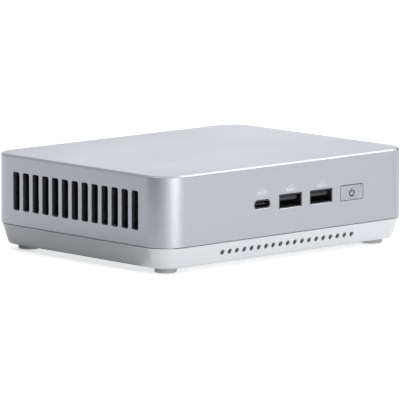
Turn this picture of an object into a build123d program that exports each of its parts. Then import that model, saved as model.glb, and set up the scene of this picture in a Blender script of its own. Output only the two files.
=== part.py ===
from build123d import *
import os
from math import atan2, cos, degrees, radians, sin

# Mini PC: a flat desktop computer with an aluminium housing on a tapered base tray.
#
# The base tray with its feet and release latch is the fixed body. The housing carries the mainboard,
# cooler and sockets, and lifts straight up off the tray. The power button and the fan rotor move in it.
#
# Frame: millimetres, +X to the right along the front, +Y to the back, +Z up. The origin is on the
# surface the feet stand on, under the middle of the body.

# ---------------------------------------------------------------- overall sizes
width = 144.0
depth = 112.0
foot_height = 2.4
base_height = 9.3
shell_height = 30.2
corner_radius = 11.6

base_z = foot_height
split_z = base_z + base_height
top_z = split_z + shell_height

# ---------------------------------------------------------------- clearances
seam = 0.3          # gap between the base tray and the housing
slip = 0.2          # gap round a sliding or lifting fit
touch = 0.1         # gap between pieces that rest on each other across a joint

# ---------------------------------------------------------------- housing shell
wall = 2.0
top_edge_chamfer = 0.8
bottom_edge_chamfer = 0.4
inner_width = width - 2 * wall
inner_depth = depth - 2 * wall
corner_ease = 3.0                   # how much rounder than the wall's own offset the inner corners are left
inner_corner_radius = corner_radius - wall - corner_ease
inner_top_z = top_z - wall

slot_count = 13
slot_width = 4.2
slot_height = 16.4
slot_pitch = 6.35
slot_corner = 1.0
slot_middle_y = 0.5
slot_middle_z = 26.5
liner_thickness = 1.6
liner_margin = 2.0

lock_slot_width = 7.0
lock_slot_height = 3.0
lock_slot_y = -46.5

# ---------------------------------------------------------------- front sockets and button
port_z = 25.5
usb_a_x = (0.35, 18.4)
usb_c_x = -16.1
usb_a_width = 12.9
usb_a_height = 5.5
usb_a_length = 14.0
usb_c_width = 8.94
usb_c_height = 3.2
usb_c_length = 9.0
port_gap = 0.2       # gap between a socket and its cut-out
port_recess = 0.3    # how far a socket's mouth sits behind the outer face
socket_wall = 0.35
tongue_lift = 0.95      # how far a type A tongue lies above the middle of its socket
tongue_thickness = 1.9

button_x = 36.5
button_width = 13.5
button_height = 6.5
button_corner = 0.9
button_travel = 0.5
button_flange = 1.4
flange_thickness = 1.0

# ---------------------------------------------------------------- mainboard
board_clearance = 2.0
board_width = inner_width - 2 * board_clearance
board_depth = inner_depth - 2 * board_clearance
board_thickness = 1.6
board_corner = 8.0
board_top_z = port_z - usb_a_height / 2
board_bottom_z = board_top_z - board_thickness
board_screw_x = board_width / 2 - 6.0
board_screw_y = (8.0 - board_depth / 2, board_depth / 2 - 16.0)
screw_radius = 1.25
screw_head_radius = 2.4
screw_head_height = 1.4
screw_length = 6.0
standoff_radius = 2.6

# ---------------------------------------------------------------- rear panel and sockets
rear_open_margin = 10.0             # frame left at each side of the rear opening
rear_open_width = inner_width - 2 * rear_open_margin
rear_open_bottom_z = split_z + 3.0
rear_open_top_z = inner_top_z - 0.5
panel_overlap = 0.2                 # how far the panel's face reaches into its lip
rear_panel_lip = 2.0
rear_face_y = depth / 2 - 1.0       # outer face of the rear panel
rear_socket_proud = 0.2             # how far the sockets stand out of the rear panel
rear_mouth_y = rear_face_y + rear_socket_proud
panel_inner_y = inner_depth / 2 - panel_overlap

hdmi_x = (-49.0, -30.0)
hdmi_width = 15.0
hdmi_height = 5.6
hdmi_length = 12.0
rear_usb_c_x = (-13.5, 0.0)
lan_x = 17.5
lan_width = 16.0
lan_height = 13.4
lan_length = 21.0
lan_mouth_width = 11.9
lan_mouth_height = 8.4
stack_x = 36.0
stack_width = 14.4
stack_height = 15.4
stack_length = 17.0
dc_x = 53.0
dc_width = 9.4
dc_height = 11.0
dc_length = 14.0
dc_bore_radius = 2.9
dc_pin_radius = 1.0
vent_slot_width = 2.2
vent_slot_pitch = 4.2
vent_slot_height = 5.4

# ---------------------------------------------------------------- cooler
cooler_z = 29.2
pipe_height = 3.0
pipe_width = 8.0
pipe_gap = 1.0
cooler_gap = 0.5       # gap between the cooler and the top of the housing
cooler_top_z = inner_top_z - cooler_gap
pipe_lan_gap = 1.2     # gap between the outer heat pipe and the network socket behind it
pipe_cross_y = rear_mouth_y - lan_length - pipe_lan_gap - pipe_width / 2
fin_gap = 1.2          # gap between the fins and the rear panel
pipe_turn_x = 8.0
pipe_bend = 8.0
fin_depth = 21.0
fin_thickness = 0.4
fin_pitch = 1.8
cpu_x = 30.0
cpu_y = -6.0
cpu_size = (44.0, 26.0)
cpu_substrate = 1.0
cpu_die = 0.6
block_size = 40.0

fan_x = -28.0
fan_y = -4.0
fan_floor = 1.0
fan_wall = 1.5
fan_bore_radius = 26.0
fin_width = 2 * (fan_bore_radius + fan_wall) + 3.0
fan_cover_thickness = 0.8
fan_intake_radius = fan_bore_radius - 8.0
fan_foot_radius = 2.5
leg_offset = fan_bore_radius - 10.0
rotor_clearance = 0.7
hub_radius = 11.0
hub_wall = 1.5
blade_count = 17
blade_outer_radius = fan_bore_radius - 2.0
blade_thickness = 0.9
blade_sweep = radians(24)
shaft_radius = 1.0
shaft_clearance = 0.04
bearing_radius = 2.8
stator_radius = 8.0

# ---------------------------------------------------------------- memory, drive and radio card
ram_width = 69.6
ram_depth = 30.0
ram_thickness = 1.2
ram_x = -30.0
ram_socket_depth = 6.0
ram_socket_y = (-10.0, -3.0)
ram_drop = (4.2, 8.4)         # how far each memory module lies under the board
ram_bite = 3.0                # how far a module's edge goes into its socket
ssd_length = 80.0
ssd_width = 22.0
ssd_thickness = 0.8
ssd_x = 24.0
ssd_y = 19.0
card_drop = 2.6               # gap between the board and a plug-in card
chip_height = 1.3
radio_length = 30.0
radio_x = 46.0
radio_y = -22.0
coin_radius = 10.0
coin_thickness = 3.2
coin_x = -48.0
coin_y = 20.0

# ---------------------------------------------------------------- base tray
base_wall = 2.0
base_floor = 2.4
base_inset = 0.3              # how far the tray's top edge lies inside the housing's face
base_taper = 2.9              # how far the tray's bottom edge lies inside its top edge
base_bottom_fillet = 1.6
rim_height = 2.0
rim_thickness = 1.2
front_hole_count = 19
front_hole_radius = 1.05
front_hole_pitch = 4.2
front_hole_x = 0.35
front_hole_z = 7.1
floor_vent_length = 26.0
floor_vent_width = 2.4
floor_vent_pitch = 5.0
floor_vent_count = 9

foot_radius = 4.7
foot_x = width / 2 - 11.7
foot_y = depth / 2 - 12.1
foot_seat = 0.8
foot_edge = 0.5

bracket_spacing = 76.0
insert_bore = 1.65
insert_radius = 2.8
insert_height = 5.0
boss_wall = 2.0

latch_y = 34.0
latch_width = 24.0
latch_depth = 11.0
latch_travel = 5.0
latch_recess = 1.3
latch_neck = (8.0, 4.0)
latch_bar = (36.0, 8.0, 1.4)

shield_thickness = 0.8
shield_gap = 0.5
shield_margin = 8.0
shield_lip = 6.0
pad_thickness = 1.0

os.makedirs("parts", exist_ok=True)


def save(builder, name):
    """Label a finished piece and write it to its own STEP file."""
    builder.part.label = name
    export_step(builder.part, f"parts/{name}.step")


def slot_places():
    """Places of the side slots on a plane whose X runs along the depth of the body."""
    return GridLocations(slot_pitch, 0, slot_count, 1)


# ================================================================ housing shell
with BuildPart() as top_shell:
    with BuildSketch(Plane.XY.offset(split_z)):
        RectangleRounded(width, depth, corner_radius)
    extrude(amount=shell_height)
    chamfer(top_shell.faces().sort_by(Axis.Z)[-1].edges(), top_edge_chamfer)
    chamfer(top_shell.faces().sort_by(Axis.Z)[0].edges(), bottom_edge_chamfer)
    with BuildSketch(Plane.XY.offset(split_z)):
        RectangleRounded(inner_width, inner_depth, inner_corner_radius)
    extrude(amount=shell_height - wall, mode=Mode.SUBTRACT)
    # side slots, cut through both side walls at once
    with BuildSketch(Plane.YZ.offset(-width / 2)):
        with Locations((slot_middle_y, slot_middle_z)):
            with slot_places():
                RectangleRounded(slot_width, slot_height, slot_corner)
    extrude(amount=width, mode=Mode.SUBTRACT)
    # front cut-outs
    with BuildSketch(Plane.XZ.offset(depth / 2 - wall)):
        with Locations(*[(x, port_z) for x in usb_a_x]):
            Rectangle(usb_a_width + 2 * port_gap, usb_a_height + 2 * port_gap)
        with Locations((usb_c_x, port_z)):
            SlotOverall(usb_c_width + 2 * port_gap, usb_c_height + 2 * port_gap)
        with Locations((button_x, port_z)):
            RectangleRounded(button_width + 2 * slip, button_height + 2 * slip, button_corner + slip)
    extrude(amount=wall, mode=Mode.SUBTRACT)
    # rear opening for the socket panel
    rear_open_height = rear_open_top_z - rear_open_bottom_z
    with BuildSketch(Plane.XZ.offset(-depth / 2)):
        with Locations((0, (rear_open_top_z + rear_open_bottom_z) / 2)):
            RectangleRounded(rear_open_width, rear_open_height, 1.5)
    extrude(amount=wall, mode=Mode.SUBTRACT)
    # security lock slot in the right wall
    with BuildSketch(Plane.YZ.offset(width / 2 - wall)):
        with Locations((lock_slot_y, slot_middle_z)):
            SlotOverall(lock_slot_width, lock_slot_height)
    extrude(amount=wall, mode=Mode.SUBTRACT)
save(top_shell, "top_shell")

liner_width = (slot_count - 1) * slot_pitch + slot_width + 2 * liner_margin
liner_height = slot_height + 2 * liner_margin
for side, liner_x in (("left", -inner_width / 2), ("right", inner_width / 2 - liner_thickness)):
    with BuildPart() as vent_liner:
        with BuildSketch(Plane.YZ.offset(liner_x)):
            with Locations((slot_middle_y, slot_middle_z)):
                Rectangle(liner_width, liner_height)
                with slot_places():
                    RectangleRounded(slot_width, slot_height, slot_corner, mode=Mode.SUBTRACT)
        extrude(amount=liner_thickness)
    save(vent_liner, f"vent_liner_{side}")

# ================================================================ mainboard and its fixings
board_screw_places = [(x, y) for x in (-board_screw_x, board_screw_x) for y in board_screw_y]
with BuildPart() as mainboard:
    with BuildSketch(Plane.XY.offset(board_bottom_z)):
        RectangleRounded(board_width, board_depth, board_corner)
        with Locations(*board_screw_places):
            Circle(screw_radius + slip, mode=Mode.SUBTRACT)
    extrude(amount=board_thickness)
save(mainboard, "mainboard")

with BuildPart() as board_standoffs:
    with BuildSketch(Plane.XY.offset(board_top_z)):
        with Locations(*board_screw_places):
            RegularPolygon(standoff_radius, 6)
    extrude(amount=inner_top_z - board_top_z)
    with BuildSketch(Plane.XY.offset(board_top_z)):
        with Locations(*board_screw_places):
            Circle(screw_radius + slip)
    extrude(amount=screw_length, mode=Mode.SUBTRACT)
save(board_standoffs, "board_standoffs")


def add_screws(places, seat_z, shank_length):
    """Cross-head screws driven upwards into the underside of something at seat_z."""
    with BuildSketch(Plane.XY.offset(seat_z - screw_head_height)) as heads:
        with Locations(*places):
            Circle(screw_head_radius)
    extrude(heads.sketch, amount=screw_head_height)
    with BuildSketch(Plane.XY.offset(seat_z)) as shanks:
        with Locations(*places):
            Circle(screw_radius)
    extrude(shanks.sketch, amount=shank_length)
    with BuildSketch(Plane.XY.offset(seat_z - screw_head_height)) as crosses:
        with Locations(*places):
            Rectangle(2.4, 0.5)
            Rectangle(0.5, 2.4)
    extrude(crosses.sketch, amount=screw_head_height / 2, mode=Mode.SUBTRACT)


with BuildPart() as board_screws:
    add_screws(board_screw_places, board_bottom_z, board_thickness + screw_length - 1.0)
save(board_screws, "board_screws")

# ================================================================ front sockets
def usb_a_socket(x, mouth_y, z, facing):
    """One type A socket: a folded metal shell with its tongue. facing is -1 for the front, 1 for the rear."""
    mouth = Plane(origin=(x, mouth_y, z), x_dir=(facing, 0, 0), z_dir=(0, -facing, 0))
    with BuildSketch(mouth) as shell:
        Rectangle(usb_a_width, usb_a_height)
    extrude(shell.sketch, amount=usb_a_length)
    with BuildSketch(mouth) as cavity:
        Rectangle(usb_a_width - 2 * socket_wall, usb_a_height - 2 * socket_wall)
    extrude(cavity.sketch, amount=usb_a_length - 2.0, mode=Mode.SUBTRACT)
    with BuildSketch(mouth.offset(1.2)) as tongue:
        with Locations((0, tongue_lift)):
            Rectangle(11.1, tongue_thickness)
    extrude(tongue.sketch, amount=usb_a_length - 2.2)


def usb_c_socket(x, mouth_y, z, facing, seat_z):
    """One type C socket: an oval metal shell with its tongue, on a block that stands on the board."""
    mouth = Plane(origin=(x, mouth_y, z), x_dir=(facing, 0, 0), z_dir=(0, -facing, 0))
    with BuildSketch(mouth) as shell:
        SlotOverall(usb_c_width, usb_c_height)
    extrude(shell.sketch, amount=usb_c_length)
    with BuildSketch(mouth) as cavity:
        SlotOverall(usb_c_width - 2 * socket_wall, usb_c_height - 2 * socket_wall)
    extrude(cavity.sketch, amount=usb_c_length - 1.5, mode=Mode.SUBTRACT)
    with BuildSketch(mouth.offset(0.6)) as tongue:
        Rectangle(6.6, 0.7)
    extrude(tongue.sketch, amount=usb_c_length - 1.0)
    riser_top = z - usb_c_height / 2 + socket_wall / 2
    if riser_top - seat_z > socket_wall:
        middle_y = mouth_y - facing * (usb_c_length + 4.0) / 2
        with BuildSketch(Plane((x, middle_y, seat_z))) as riser:
            Rectangle(usb_c_width - usb_c_height, usb_c_length - 4.0)
        extrude(riser.sketch, amount=riser_top - seat_z)


front_mouth_y = -depth / 2 + port_recess
for number, x in enumerate(usb_a_x, 1):
    with BuildPart() as front_usb_a:
        usb_a_socket(x, front_mouth_y, port_z, -1)
    save(front_usb_a, f"front_usb_a_{number}")

with BuildPart() as front_usb_c:
    usb_c_socket(usb_c_x, front_mouth_y, port_z, -1, board_top_z)
save(front_usb_c, "front_usb_c")

# ================================================================ power button and its switch
button_inner_y = -inner_depth / 2 + touch
with BuildPart() as power_button:
    with BuildSketch(Plane.XZ.offset(-button_inner_y)):
        with Locations((button_x, port_z)):
            RectangleRounded(button_width, button_height, button_corner)
    extrude(amount=depth / 2 + button_inner_y)
    fillet(power_button.faces().sort_by(Axis.Y)[0].edges(), 0.25)
    with BuildSketch(Plane.XZ.offset(-button_inner_y)):
        with Locations((button_x, port_z)):
            RectangleRounded(button_width + 2 * button_flange, button_height + 2 * button_flange, button_corner)
    extrude(amount=-flange_thickness)
save(power_button, "power_button")

plunger_y = button_inner_y + flange_thickness + button_travel + touch
plunger_length = 1.4
switch_size = (6.0, 3.2, 5.6)
with BuildPart() as power_switch:
    with BuildSketch(Plane((button_x, plunger_y + plunger_length + switch_size[1] / 2, board_top_z))):
        Rectangle(switch_size[0], switch_size[1])
    extrude(amount=switch_size[2])
    with BuildSketch(Plane.XZ.offset(-plunger_y)):
        with Locations((button_x, port_z)):
            Circle(1.3)
    extrude(amount=-plunger_length)
save(power_switch, "power_switch")

# ================================================================ rear panel and sockets
rear_sockets = (
    [(x, board_top_z + hdmi_height / 2, hdmi_width, hdmi_height) for x in hdmi_x]
    + [(x, board_top_z + usb_c_height / 2, usb_c_width, usb_c_height) for x in rear_usb_c_x]
    + [(lan_x, board_top_z + lan_height / 2, lan_width, lan_height)]
    + [(stack_x, board_top_z + stack_height / 2, stack_width, stack_height)]
    + [(dc_x, board_top_z + dc_height / 2, dc_width, dc_height)]
)
vent_z = (cooler_z + pipe_height + cooler_top_z) / 2
vent_count = int(fin_width / vent_slot_pitch) - 1
with BuildPart() as rear_panel:
    with BuildSketch(Plane.XZ.offset(-rear_face_y)):
        with Locations((0, (rear_open_top_z + rear_open_bottom_z) / 2)):
            RectangleRounded(rear_open_width - 2 * slip, rear_open_height - 2 * slip, 1.5 - slip)
    extrude(amount=rear_face_y - panel_inner_y)
    lip_height = inner_top_z - split_z - 2 * rear_panel_lip
    with BuildSketch(Plane.XZ.offset(-inner_depth / 2)):
        with Locations((0, (inner_top_z + split_z) / 2)):
            Rectangle(rear_open_width + 2 * rear_panel_lip, lip_height)
            Rectangle(rear_open_width - 2 * rear_panel_lip, lip_height - 2 * rear_panel_lip, mode=Mode.SUBTRACT)
    extrude(amount=1.0)
    # cut-outs for the sockets and the exhaust slots
    with BuildSketch(Plane.XZ.offset(-rear_face_y)):
        for x, z, socket_width, socket_height in rear_sockets:
            with Locations((x, z)):
                Rectangle(socket_width + 2 * port_gap, socket_height + 2 * port_gap)
        with Locations((fan_x, vent_z)):
            with GridLocations(vent_slot_pitch, 0, vent_count, 1):
                SlotOverall(vent_slot_height, vent_slot_width, rotation=90)
        with Locations((0, (board_bottom_z + rear_open_bottom_z) / 2)):
            with GridLocations(vent_slot_pitch, 0, int(rear_open_width / vent_slot_pitch) - 1, 1):
                SlotOverall(3.6, vent_slot_width, rotation=90)
    extrude(amount=depth / 2, mode=Mode.SUBTRACT)
save(rear_panel, "rear_panel")


def block_socket(x, socket_width, socket_height, socket_length):
    """The outer block of a rear socket that stands on the board."""
    with BuildSketch(Plane.XZ.offset(-rear_mouth_y)) as block:
        with Locations((x, board_top_z + socket_height / 2)):
            Rectangle(socket_width, socket_height)
    extrude(block.sketch, amount=socket_length)


for number, x in enumerate(hdmi_x, 1):
    with BuildPart() as hdmi:
        block_socket(x, hdmi_width, hdmi_height, hdmi_length)
        hdmi_mouth_z = board_top_z + hdmi_height / 2
        with BuildSketch(Plane.XZ.offset(-rear_mouth_y)):
            with Locations((x, hdmi_mouth_z)):
                Trapezoid(hdmi_width - 1.0, hdmi_height - 1.1, 60)
        extrude(amount=hdmi_length - 1.5, mode=Mode.SUBTRACT)
        with BuildSketch(Plane.XZ.offset(-rear_mouth_y + 1.0)):
            with Locations((x, hdmi_mouth_z + 0.4)):
                Rectangle(10.2, 1.2)
        extrude(amount=hdmi_length - 1.5)
    save(hdmi, f"hdmi_socket_{number}")

for number, x in enumerate(rear_usb_c_x, 1):
    with BuildPart() as rear_usb_c:
        usb_c_socket(x, rear_mouth_y, board_top_z + usb_c_height / 2, 1, board_top_z)
    save(rear_usb_c, f"rear_usb_c_{number}")

lan_floor = 1.2
with BuildPart() as lan_socket:
    block_socket(lan_x, lan_width, lan_height, lan_length)
    with BuildSketch(Plane.XZ.offset(-rear_mouth_y)):
        with Locations((lan_x, board_top_z + lan_floor + lan_mouth_height / 2)):
            Rectangle(lan_mouth_width, lan_mouth_height)
        with Locations((lan_x, board_top_z + lan_floor + lan_mouth_height + 0.7)):
            Rectangle(lan_mouth_width / 2, 1.4)
    extrude(amount=lan_length - 5.0, mode=Mode.SUBTRACT)
save(lan_socket, "lan_socket")

with BuildPart() as rear_usb_stack:
    block_socket(stack_x, stack_width, stack_height, stack_length)
    for z in (board_top_z + stack_height * 0.26, board_top_z + stack_height * 0.74):
        with BuildSketch(Plane.XZ.offset(-rear_mouth_y)):
            with Locations((stack_x, z)):
                Rectangle(12.5, 5.1)
        extrude(amount=stack_length - 4.0, mode=Mode.SUBTRACT)
        with BuildSketch(Plane.XZ.offset(-rear_mouth_y + 1.2)):
            with Locations((stack_x, z + tongue_lift)):
                Rectangle(11.1, tongue_thickness)
        extrude(amount=stack_length - 4.0)
save(rear_usb_stack, "rear_usb_stack")

with BuildPart() as dc_jack:
    block_socket(dc_x, dc_width, dc_height, dc_length)
    with BuildSketch(Plane.XZ.offset(-rear_mouth_y)):
        with Locations((dc_x, board_top_z + dc_height / 2)):
            Circle(dc_bore_radius)
            Circle(dc_pin_radius, mode=Mode.SUBTRACT)
    extrude(amount=dc_length - 3.0, mode=Mode.SUBTRACT)
save(dc_jack, "dc_jack")

# ================================================================ processor and cooler
with BuildPart() as processor:
    with BuildSketch(Plane((cpu_x, cpu_y, board_top_z))):
        Rectangle(*cpu_size)
    extrude(amount=cpu_substrate)
    with BuildSketch(Plane((cpu_x, cpu_y, board_top_z + cpu_substrate))):
        with Locations((-6.0, 0)):
            Rectangle(18.0, 14.0)
        with Locations((11.0, 0)):
            Rectangle(9.0, 12.0)
    extrude(amount=cpu_die)
save(processor, "processor")

block_z = board_top_z + cpu_substrate + cpu_die
block_leg_radius = 2.5
with BuildPart() as heat_block:
    with BuildSketch(Plane((cpu_x, cpu_y, block_z))):
        RectangleRounded(block_size, block_size, 3.0)
    extrude(amount=cooler_z - block_z)
    # four legs that stand on the board round the processor
    with BuildSketch(Plane((cpu_x, cpu_y, board_top_z))):
        with GridLocations(block_size - 2 * block_leg_radius, block_size - 2 * block_leg_radius, 2, 2):
            Circle(block_leg_radius)
    extrude(amount=block_z - board_top_z)
save(heat_block, "heat_block")

fin_back_y = panel_inner_y - fin_gap
fin_y = fin_back_y - fin_depth / 2
fin_bottom_z = cooler_z + pipe_height
pipe_start_y = cpu_y - block_size / 2 + 2.0
pipe_end_x = fan_x - fin_width / 2 + 2.0
pipe_step = pipe_width + pipe_gap
pipe_middle_z = cooler_z + pipe_height / 2
for number in (1, 2):
    inner = number - 1                      # the second pipe runs inside the first one
    run_x = cpu_x + pipe_step / 2 - inner * pipe_step
    cross_y = pipe_cross_y - inner * pipe_step
    fin_run_y = fin_back_y - pipe_width + 1.0 - inner * pipe_step
    with BuildPart() as heat_pipe:
        with BuildLine(Plane.XY.offset(pipe_middle_z)):
            FilletPolyline(
                (run_x, pipe_start_y),
                (run_x, cross_y),
                (pipe_turn_x - inner * 4.0, cross_y),
                (pipe_turn_x - inner * 4.0 - 14.0, fin_run_y),
                (pipe_end_x, fin_run_y),
                radius=pipe_bend,
            )
        with BuildSketch(Plane((run_x, pipe_start_y, pipe_middle_z), x_dir=(1, 0, 0), z_dir=(0, 1, 0))):
            SlotOverall(pipe_width, pipe_height - 0.02)
        sweep()
    save(heat_pipe, f"heat_pipe_{number}")

with BuildPart() as fin_stack:
    with BuildSketch(Plane((fan_x, fin_y, fin_bottom_z))):
        Rectangle(fin_width, fin_depth)
    extrude(amount=fin_thickness)
    with BuildSketch(Plane((fan_x, fin_y, fin_bottom_z))):
        with GridLocations(fin_pitch, 0, int(fin_width / fin_pitch), 1):
            Rectangle(fin_thickness, fin_depth)
    extrude(amount=cooler_top_z - fin_bottom_z)
save(fin_stack, "fin_stack")

# ================================================================ blower fan
fan_z = fin_bottom_z
fan_outer_radius = fan_bore_radius + fan_wall
duct_front_y = fin_y - fin_depth / 2 - touch
duct_length = duct_front_y - fan_y
cover_z = cooler_top_z - fan_cover_thickness
leg_places = [(fan_x + i * leg_offset, fan_y + j * leg_offset) for i, j in ((-1, -1), (1, -1), (-1, 1))]
with BuildPart() as fan_housing:
    with BuildSketch(Plane((fan_x, fan_y, fan_z))) as outline:
        Circle(fan_outer_radius)
        with Locations((0, duct_length / 2)):
            Rectangle(2 * fan_outer_radius, duct_length)
    extrude(amount=cover_z - fan_z)
    with BuildSketch(Plane((fan_x, fan_y, fan_z + fan_floor))):
        Circle(fan_bore_radius)
        with Locations((0, duct_length / 2)):
            Rectangle(2 * fan_bore_radius, duct_length)
    extrude(amount=cover_z - fan_z, mode=Mode.SUBTRACT)
    # bearing tube
    with BuildSketch(Plane((fan_x, fan_y, fan_z + fan_floor))):
        Circle(bearing_radius)
    extrude(amount=cover_z - fan_z - fan_floor - hub_wall - 2 * rotor_clearance)
    with BuildSketch(Plane((fan_x, fan_y, fan_z + fan_floor))):
        Circle(shaft_radius + shaft_clearance)
    extrude(amount=cover_z - fan_z, mode=Mode.SUBTRACT)
    # legs that stand on the board
    with BuildSketch(Plane.XY.offset(board_top_z)):
        with Locations(*leg_places):
            Circle(fan_foot_radius)
    extrude(amount=fan_z - board_top_z)
save(fan_housing, "fan_housing")

with BuildPart() as fan_cover:
    with BuildSketch(Plane((fan_x, fan_y, cover_z))):
        Circle(fan_outer_radius)
        with Locations((0, duct_length / 2)):
            Rectangle(2 * fan_outer_radius, duct_length)
        Circle(fan_intake_radius, mode=Mode.SUBTRACT)
    extrude(amount=fan_cover_thickness)
save(fan_cover, "fan_cover")

stator_height = 2.6
with BuildPart() as fan_stator:
    with BuildSketch(Plane((fan_x, fan_y, fan_z + fan_floor))):
        Circle(stator_radius)
        with PolarLocations((stator_radius + bearing_radius) / 2 + 1.6, 6, start_angle=30):
            Rectangle(3.6, 1.4, mode=Mode.SUBTRACT)
        Circle(bearing_radius + 0.02, mode=Mode.SUBTRACT)
    extrude(amount=stator_height)
save(fan_stator, "fan_stator")

rotor_bottom_z = fan_z + fan_floor + rotor_clearance
rotor_top_z = cover_z - rotor_clearance
with BuildPart() as fan_rotor:
    with BuildSketch(Plane((fan_x, fan_y, rotor_bottom_z))):
        Circle(hub_radius)
    extrude(amount=rotor_top_z - rotor_bottom_z)
    with BuildSketch(Plane((fan_x, fan_y, rotor_bottom_z))):
        Circle(hub_radius - hub_wall)
    extrude(amount=rotor_top_z - rotor_bottom_z - hub_wall, mode=Mode.SUBTRACT)
    with BuildSketch(Plane((fan_x, fan_y, rotor_bottom_z))):
        Circle(shaft_radius)
    extrude(amount=rotor_top_z - rotor_bottom_z)
    # swept-back blades, each a curved strip from the hub to the rim
    root = hub_radius - hub_wall / 2
    middle_radius = (root + blade_outer_radius) / 2
    for number in range(blade_count):
        turn = radians(360 / blade_count * number)
        blade_plane = Plane((fan_x, fan_y, rotor_bottom_z), x_dir=(cos(turn), sin(turn), 0), z_dir=(0, 0, 1))
        with BuildSketch(blade_plane) as blade:
            with BuildLine():
                spine = ThreePointArc(
                    (root, 0),
                    (middle_radius * cos(blade_sweep / 3), -middle_radius * sin(blade_sweep / 3)),
                    (blade_outer_radius * cos(blade_sweep), -blade_outer_radius * sin(blade_sweep)),
                )
                offset(spine, amount=blade_thickness / 2, side=Side.BOTH)
            make_face()
        extrude(amount=rotor_top_z - rotor_bottom_z)
save(fan_rotor, "fan_rotor")

# ================================================================ memory under the board
socket_arm = 1.6
arm_length = 24.0
for number, (socket_y, drop) in enumerate(zip(ram_socket_y, ram_drop), 1):
    module_z = board_bottom_z - drop
    socket_bottom_z = module_z - 1.2
    module_back_y = socket_y - ram_socket_depth / 2 + ram_bite
    with BuildPart() as ram_socket:
        with BuildSketch(Plane((ram_x, socket_y, socket_bottom_z))):
            Rectangle(ram_width + 2 * (socket_arm + slip), ram_socket_depth)
        extrude(amount=board_bottom_z - socket_bottom_z)
        arm_y = socket_y - (ram_socket_depth + arm_length) / 2
        with BuildSketch(Plane((ram_x, arm_y, module_z))):
            with GridLocations(ram_width + 2 * slip + socket_arm, 0, 2, 1):
                Rectangle(socket_arm, arm_length)
        extrude(amount=ram_thickness)
        with BuildSketch(Plane((ram_x, module_back_y - ram_bite / 2, module_z - touch))):
            Rectangle(ram_width + 2 * slip, ram_bite + 2 * touch)
        extrude(amount=ram_thickness + 2 * touch, mode=Mode.SUBTRACT)
    save(ram_socket, f"ram_socket_{number}")

    with BuildPart() as ram_module:
        with BuildSketch(Plane((ram_x, module_back_y - ram_depth / 2, module_z))):
            Rectangle(ram_width, ram_depth)
            with Locations((8.0, ram_depth / 2)):
                Rectangle(1.6, 4.0, mode=Mode.SUBTRACT)
        extrude(amount=ram_thickness)
        with BuildSketch(Plane((ram_x, module_back_y - ram_depth / 2 - 3.0, module_z - 1.0))):
            with GridLocations(16.0, 0, 4, 1):
                Rectangle(11.0, 15.0)
        extrude(amount=ram_thickness + 2.0)
    save(ram_module, f"ram_module_{number}")

# ================================================================ drive and radio card
card_z = board_bottom_z - card_drop - ssd_thickness
ssd_socket_depth = 8.0


def edge_socket(x, y, socket_length, bite_side):
    """A low card socket on the underside of the board. bite_side is the side on X that the card enters from."""
    with BuildSketch(Plane((x, y, card_z - 0.9))) as body:
        Rectangle(ssd_socket_depth, socket_length)
    extrude(body.sketch, amount=board_bottom_z - card_z + 0.9)
    with BuildSketch(Plane((x + bite_side * ssd_socket_depth / 4, y, card_z - touch))) as slot:
        Rectangle(ssd_socket_depth / 2, ssd_width + 2 * slip)
    extrude(slot.sketch, amount=ssd_thickness + 2 * touch, mode=Mode.SUBTRACT)


ssd_end_x = ssd_x + ssd_length / 2
with BuildPart() as ssd_socket:
    edge_socket(ssd_end_x, ssd_y, ssd_width + 3.0, -1)
save(ssd_socket, "ssd_socket")

ssd_screw_x = ssd_x - ssd_length / 2
with BuildPart() as ssd_module:
    with BuildSketch(Plane((ssd_x, ssd_y, card_z))):
        Rectangle(ssd_length - 2 * touch, ssd_width)
        with Locations((-ssd_length / 2, 0)):
            Circle(1.75, mode=Mode.SUBTRACT)
    extrude(amount=ssd_thickness)
    with BuildSketch(Plane((ssd_x, ssd_y, card_z - chip_height))):
        with GridLocations(20.0, 0, 3, 1):
            Rectangle(14.0, 17.0)
    extrude(amount=chip_height)
save(ssd_module, "ssd_module")

with BuildPart() as radio_socket:
    edge_socket(radio_x + radio_length / 2, radio_y, ssd_width + 3.0, -1)
save(radio_socket, "radio_socket")

with BuildPart() as radio_card:
    with BuildSketch(Plane((radio_x, radio_y, card_z))):
        Rectangle(radio_length - 2 * touch, ssd_width)
        with Locations((-radio_length / 2, 0)):
            Circle(1.75, mode=Mode.SUBTRACT)
    extrude(amount=ssd_thickness)
    with BuildSketch(Plane((radio_x - 2.0, radio_y, card_z - chip_height))):
        RectangleRounded(20.0, 18.0, 0.8)
    extrude(amount=chip_height)
save(radio_card, "radio_card")

card_screw_places = [(ssd_screw_x, ssd_y), (radio_x - radio_length / 2, radio_y)]
with BuildPart() as card_standoffs:
    with BuildSketch(Plane.XY.offset(card_z + ssd_thickness)):
        with Locations(*card_screw_places):
            Circle(2.4)
    extrude(amount=card_drop)
    with BuildSketch(Plane.XY.offset(card_z + ssd_thickness)):
        with Locations(*card_screw_places):
            Circle(screw_radius + 0.02)
    extrude(amount=card_drop - 0.4, mode=Mode.SUBTRACT)
save(card_standoffs, "card_standoffs")

with BuildPart() as card_screws:
    add_screws(card_screw_places, card_z, ssd_thickness + card_drop - 0.8)
save(card_screws, "card_screws")

with BuildPart() as coin_holder:
    with BuildSketch(Plane((coin_x, coin_y, board_bottom_z - coin_thickness))):
        Circle(coin_radius + 1.4)
        Circle(coin_radius + slip, mode=Mode.SUBTRACT)
        with Locations((0, -coin_radius)):
            Rectangle(9.0, 6.0, mode=Mode.SUBTRACT)
    extrude(amount=coin_thickness)
save(coin_holder, "coin_holder")

with BuildPart() as coin_cell:
    with BuildSketch(Plane((coin_x, coin_y, board_bottom_z - coin_thickness))):
        Circle(coin_radius)
    extrude(amount=coin_thickness)
    fillet(coin_cell.edges().group_by(Axis.Z)[0], 0.6)
save(coin_cell, "coin_cell")

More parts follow.
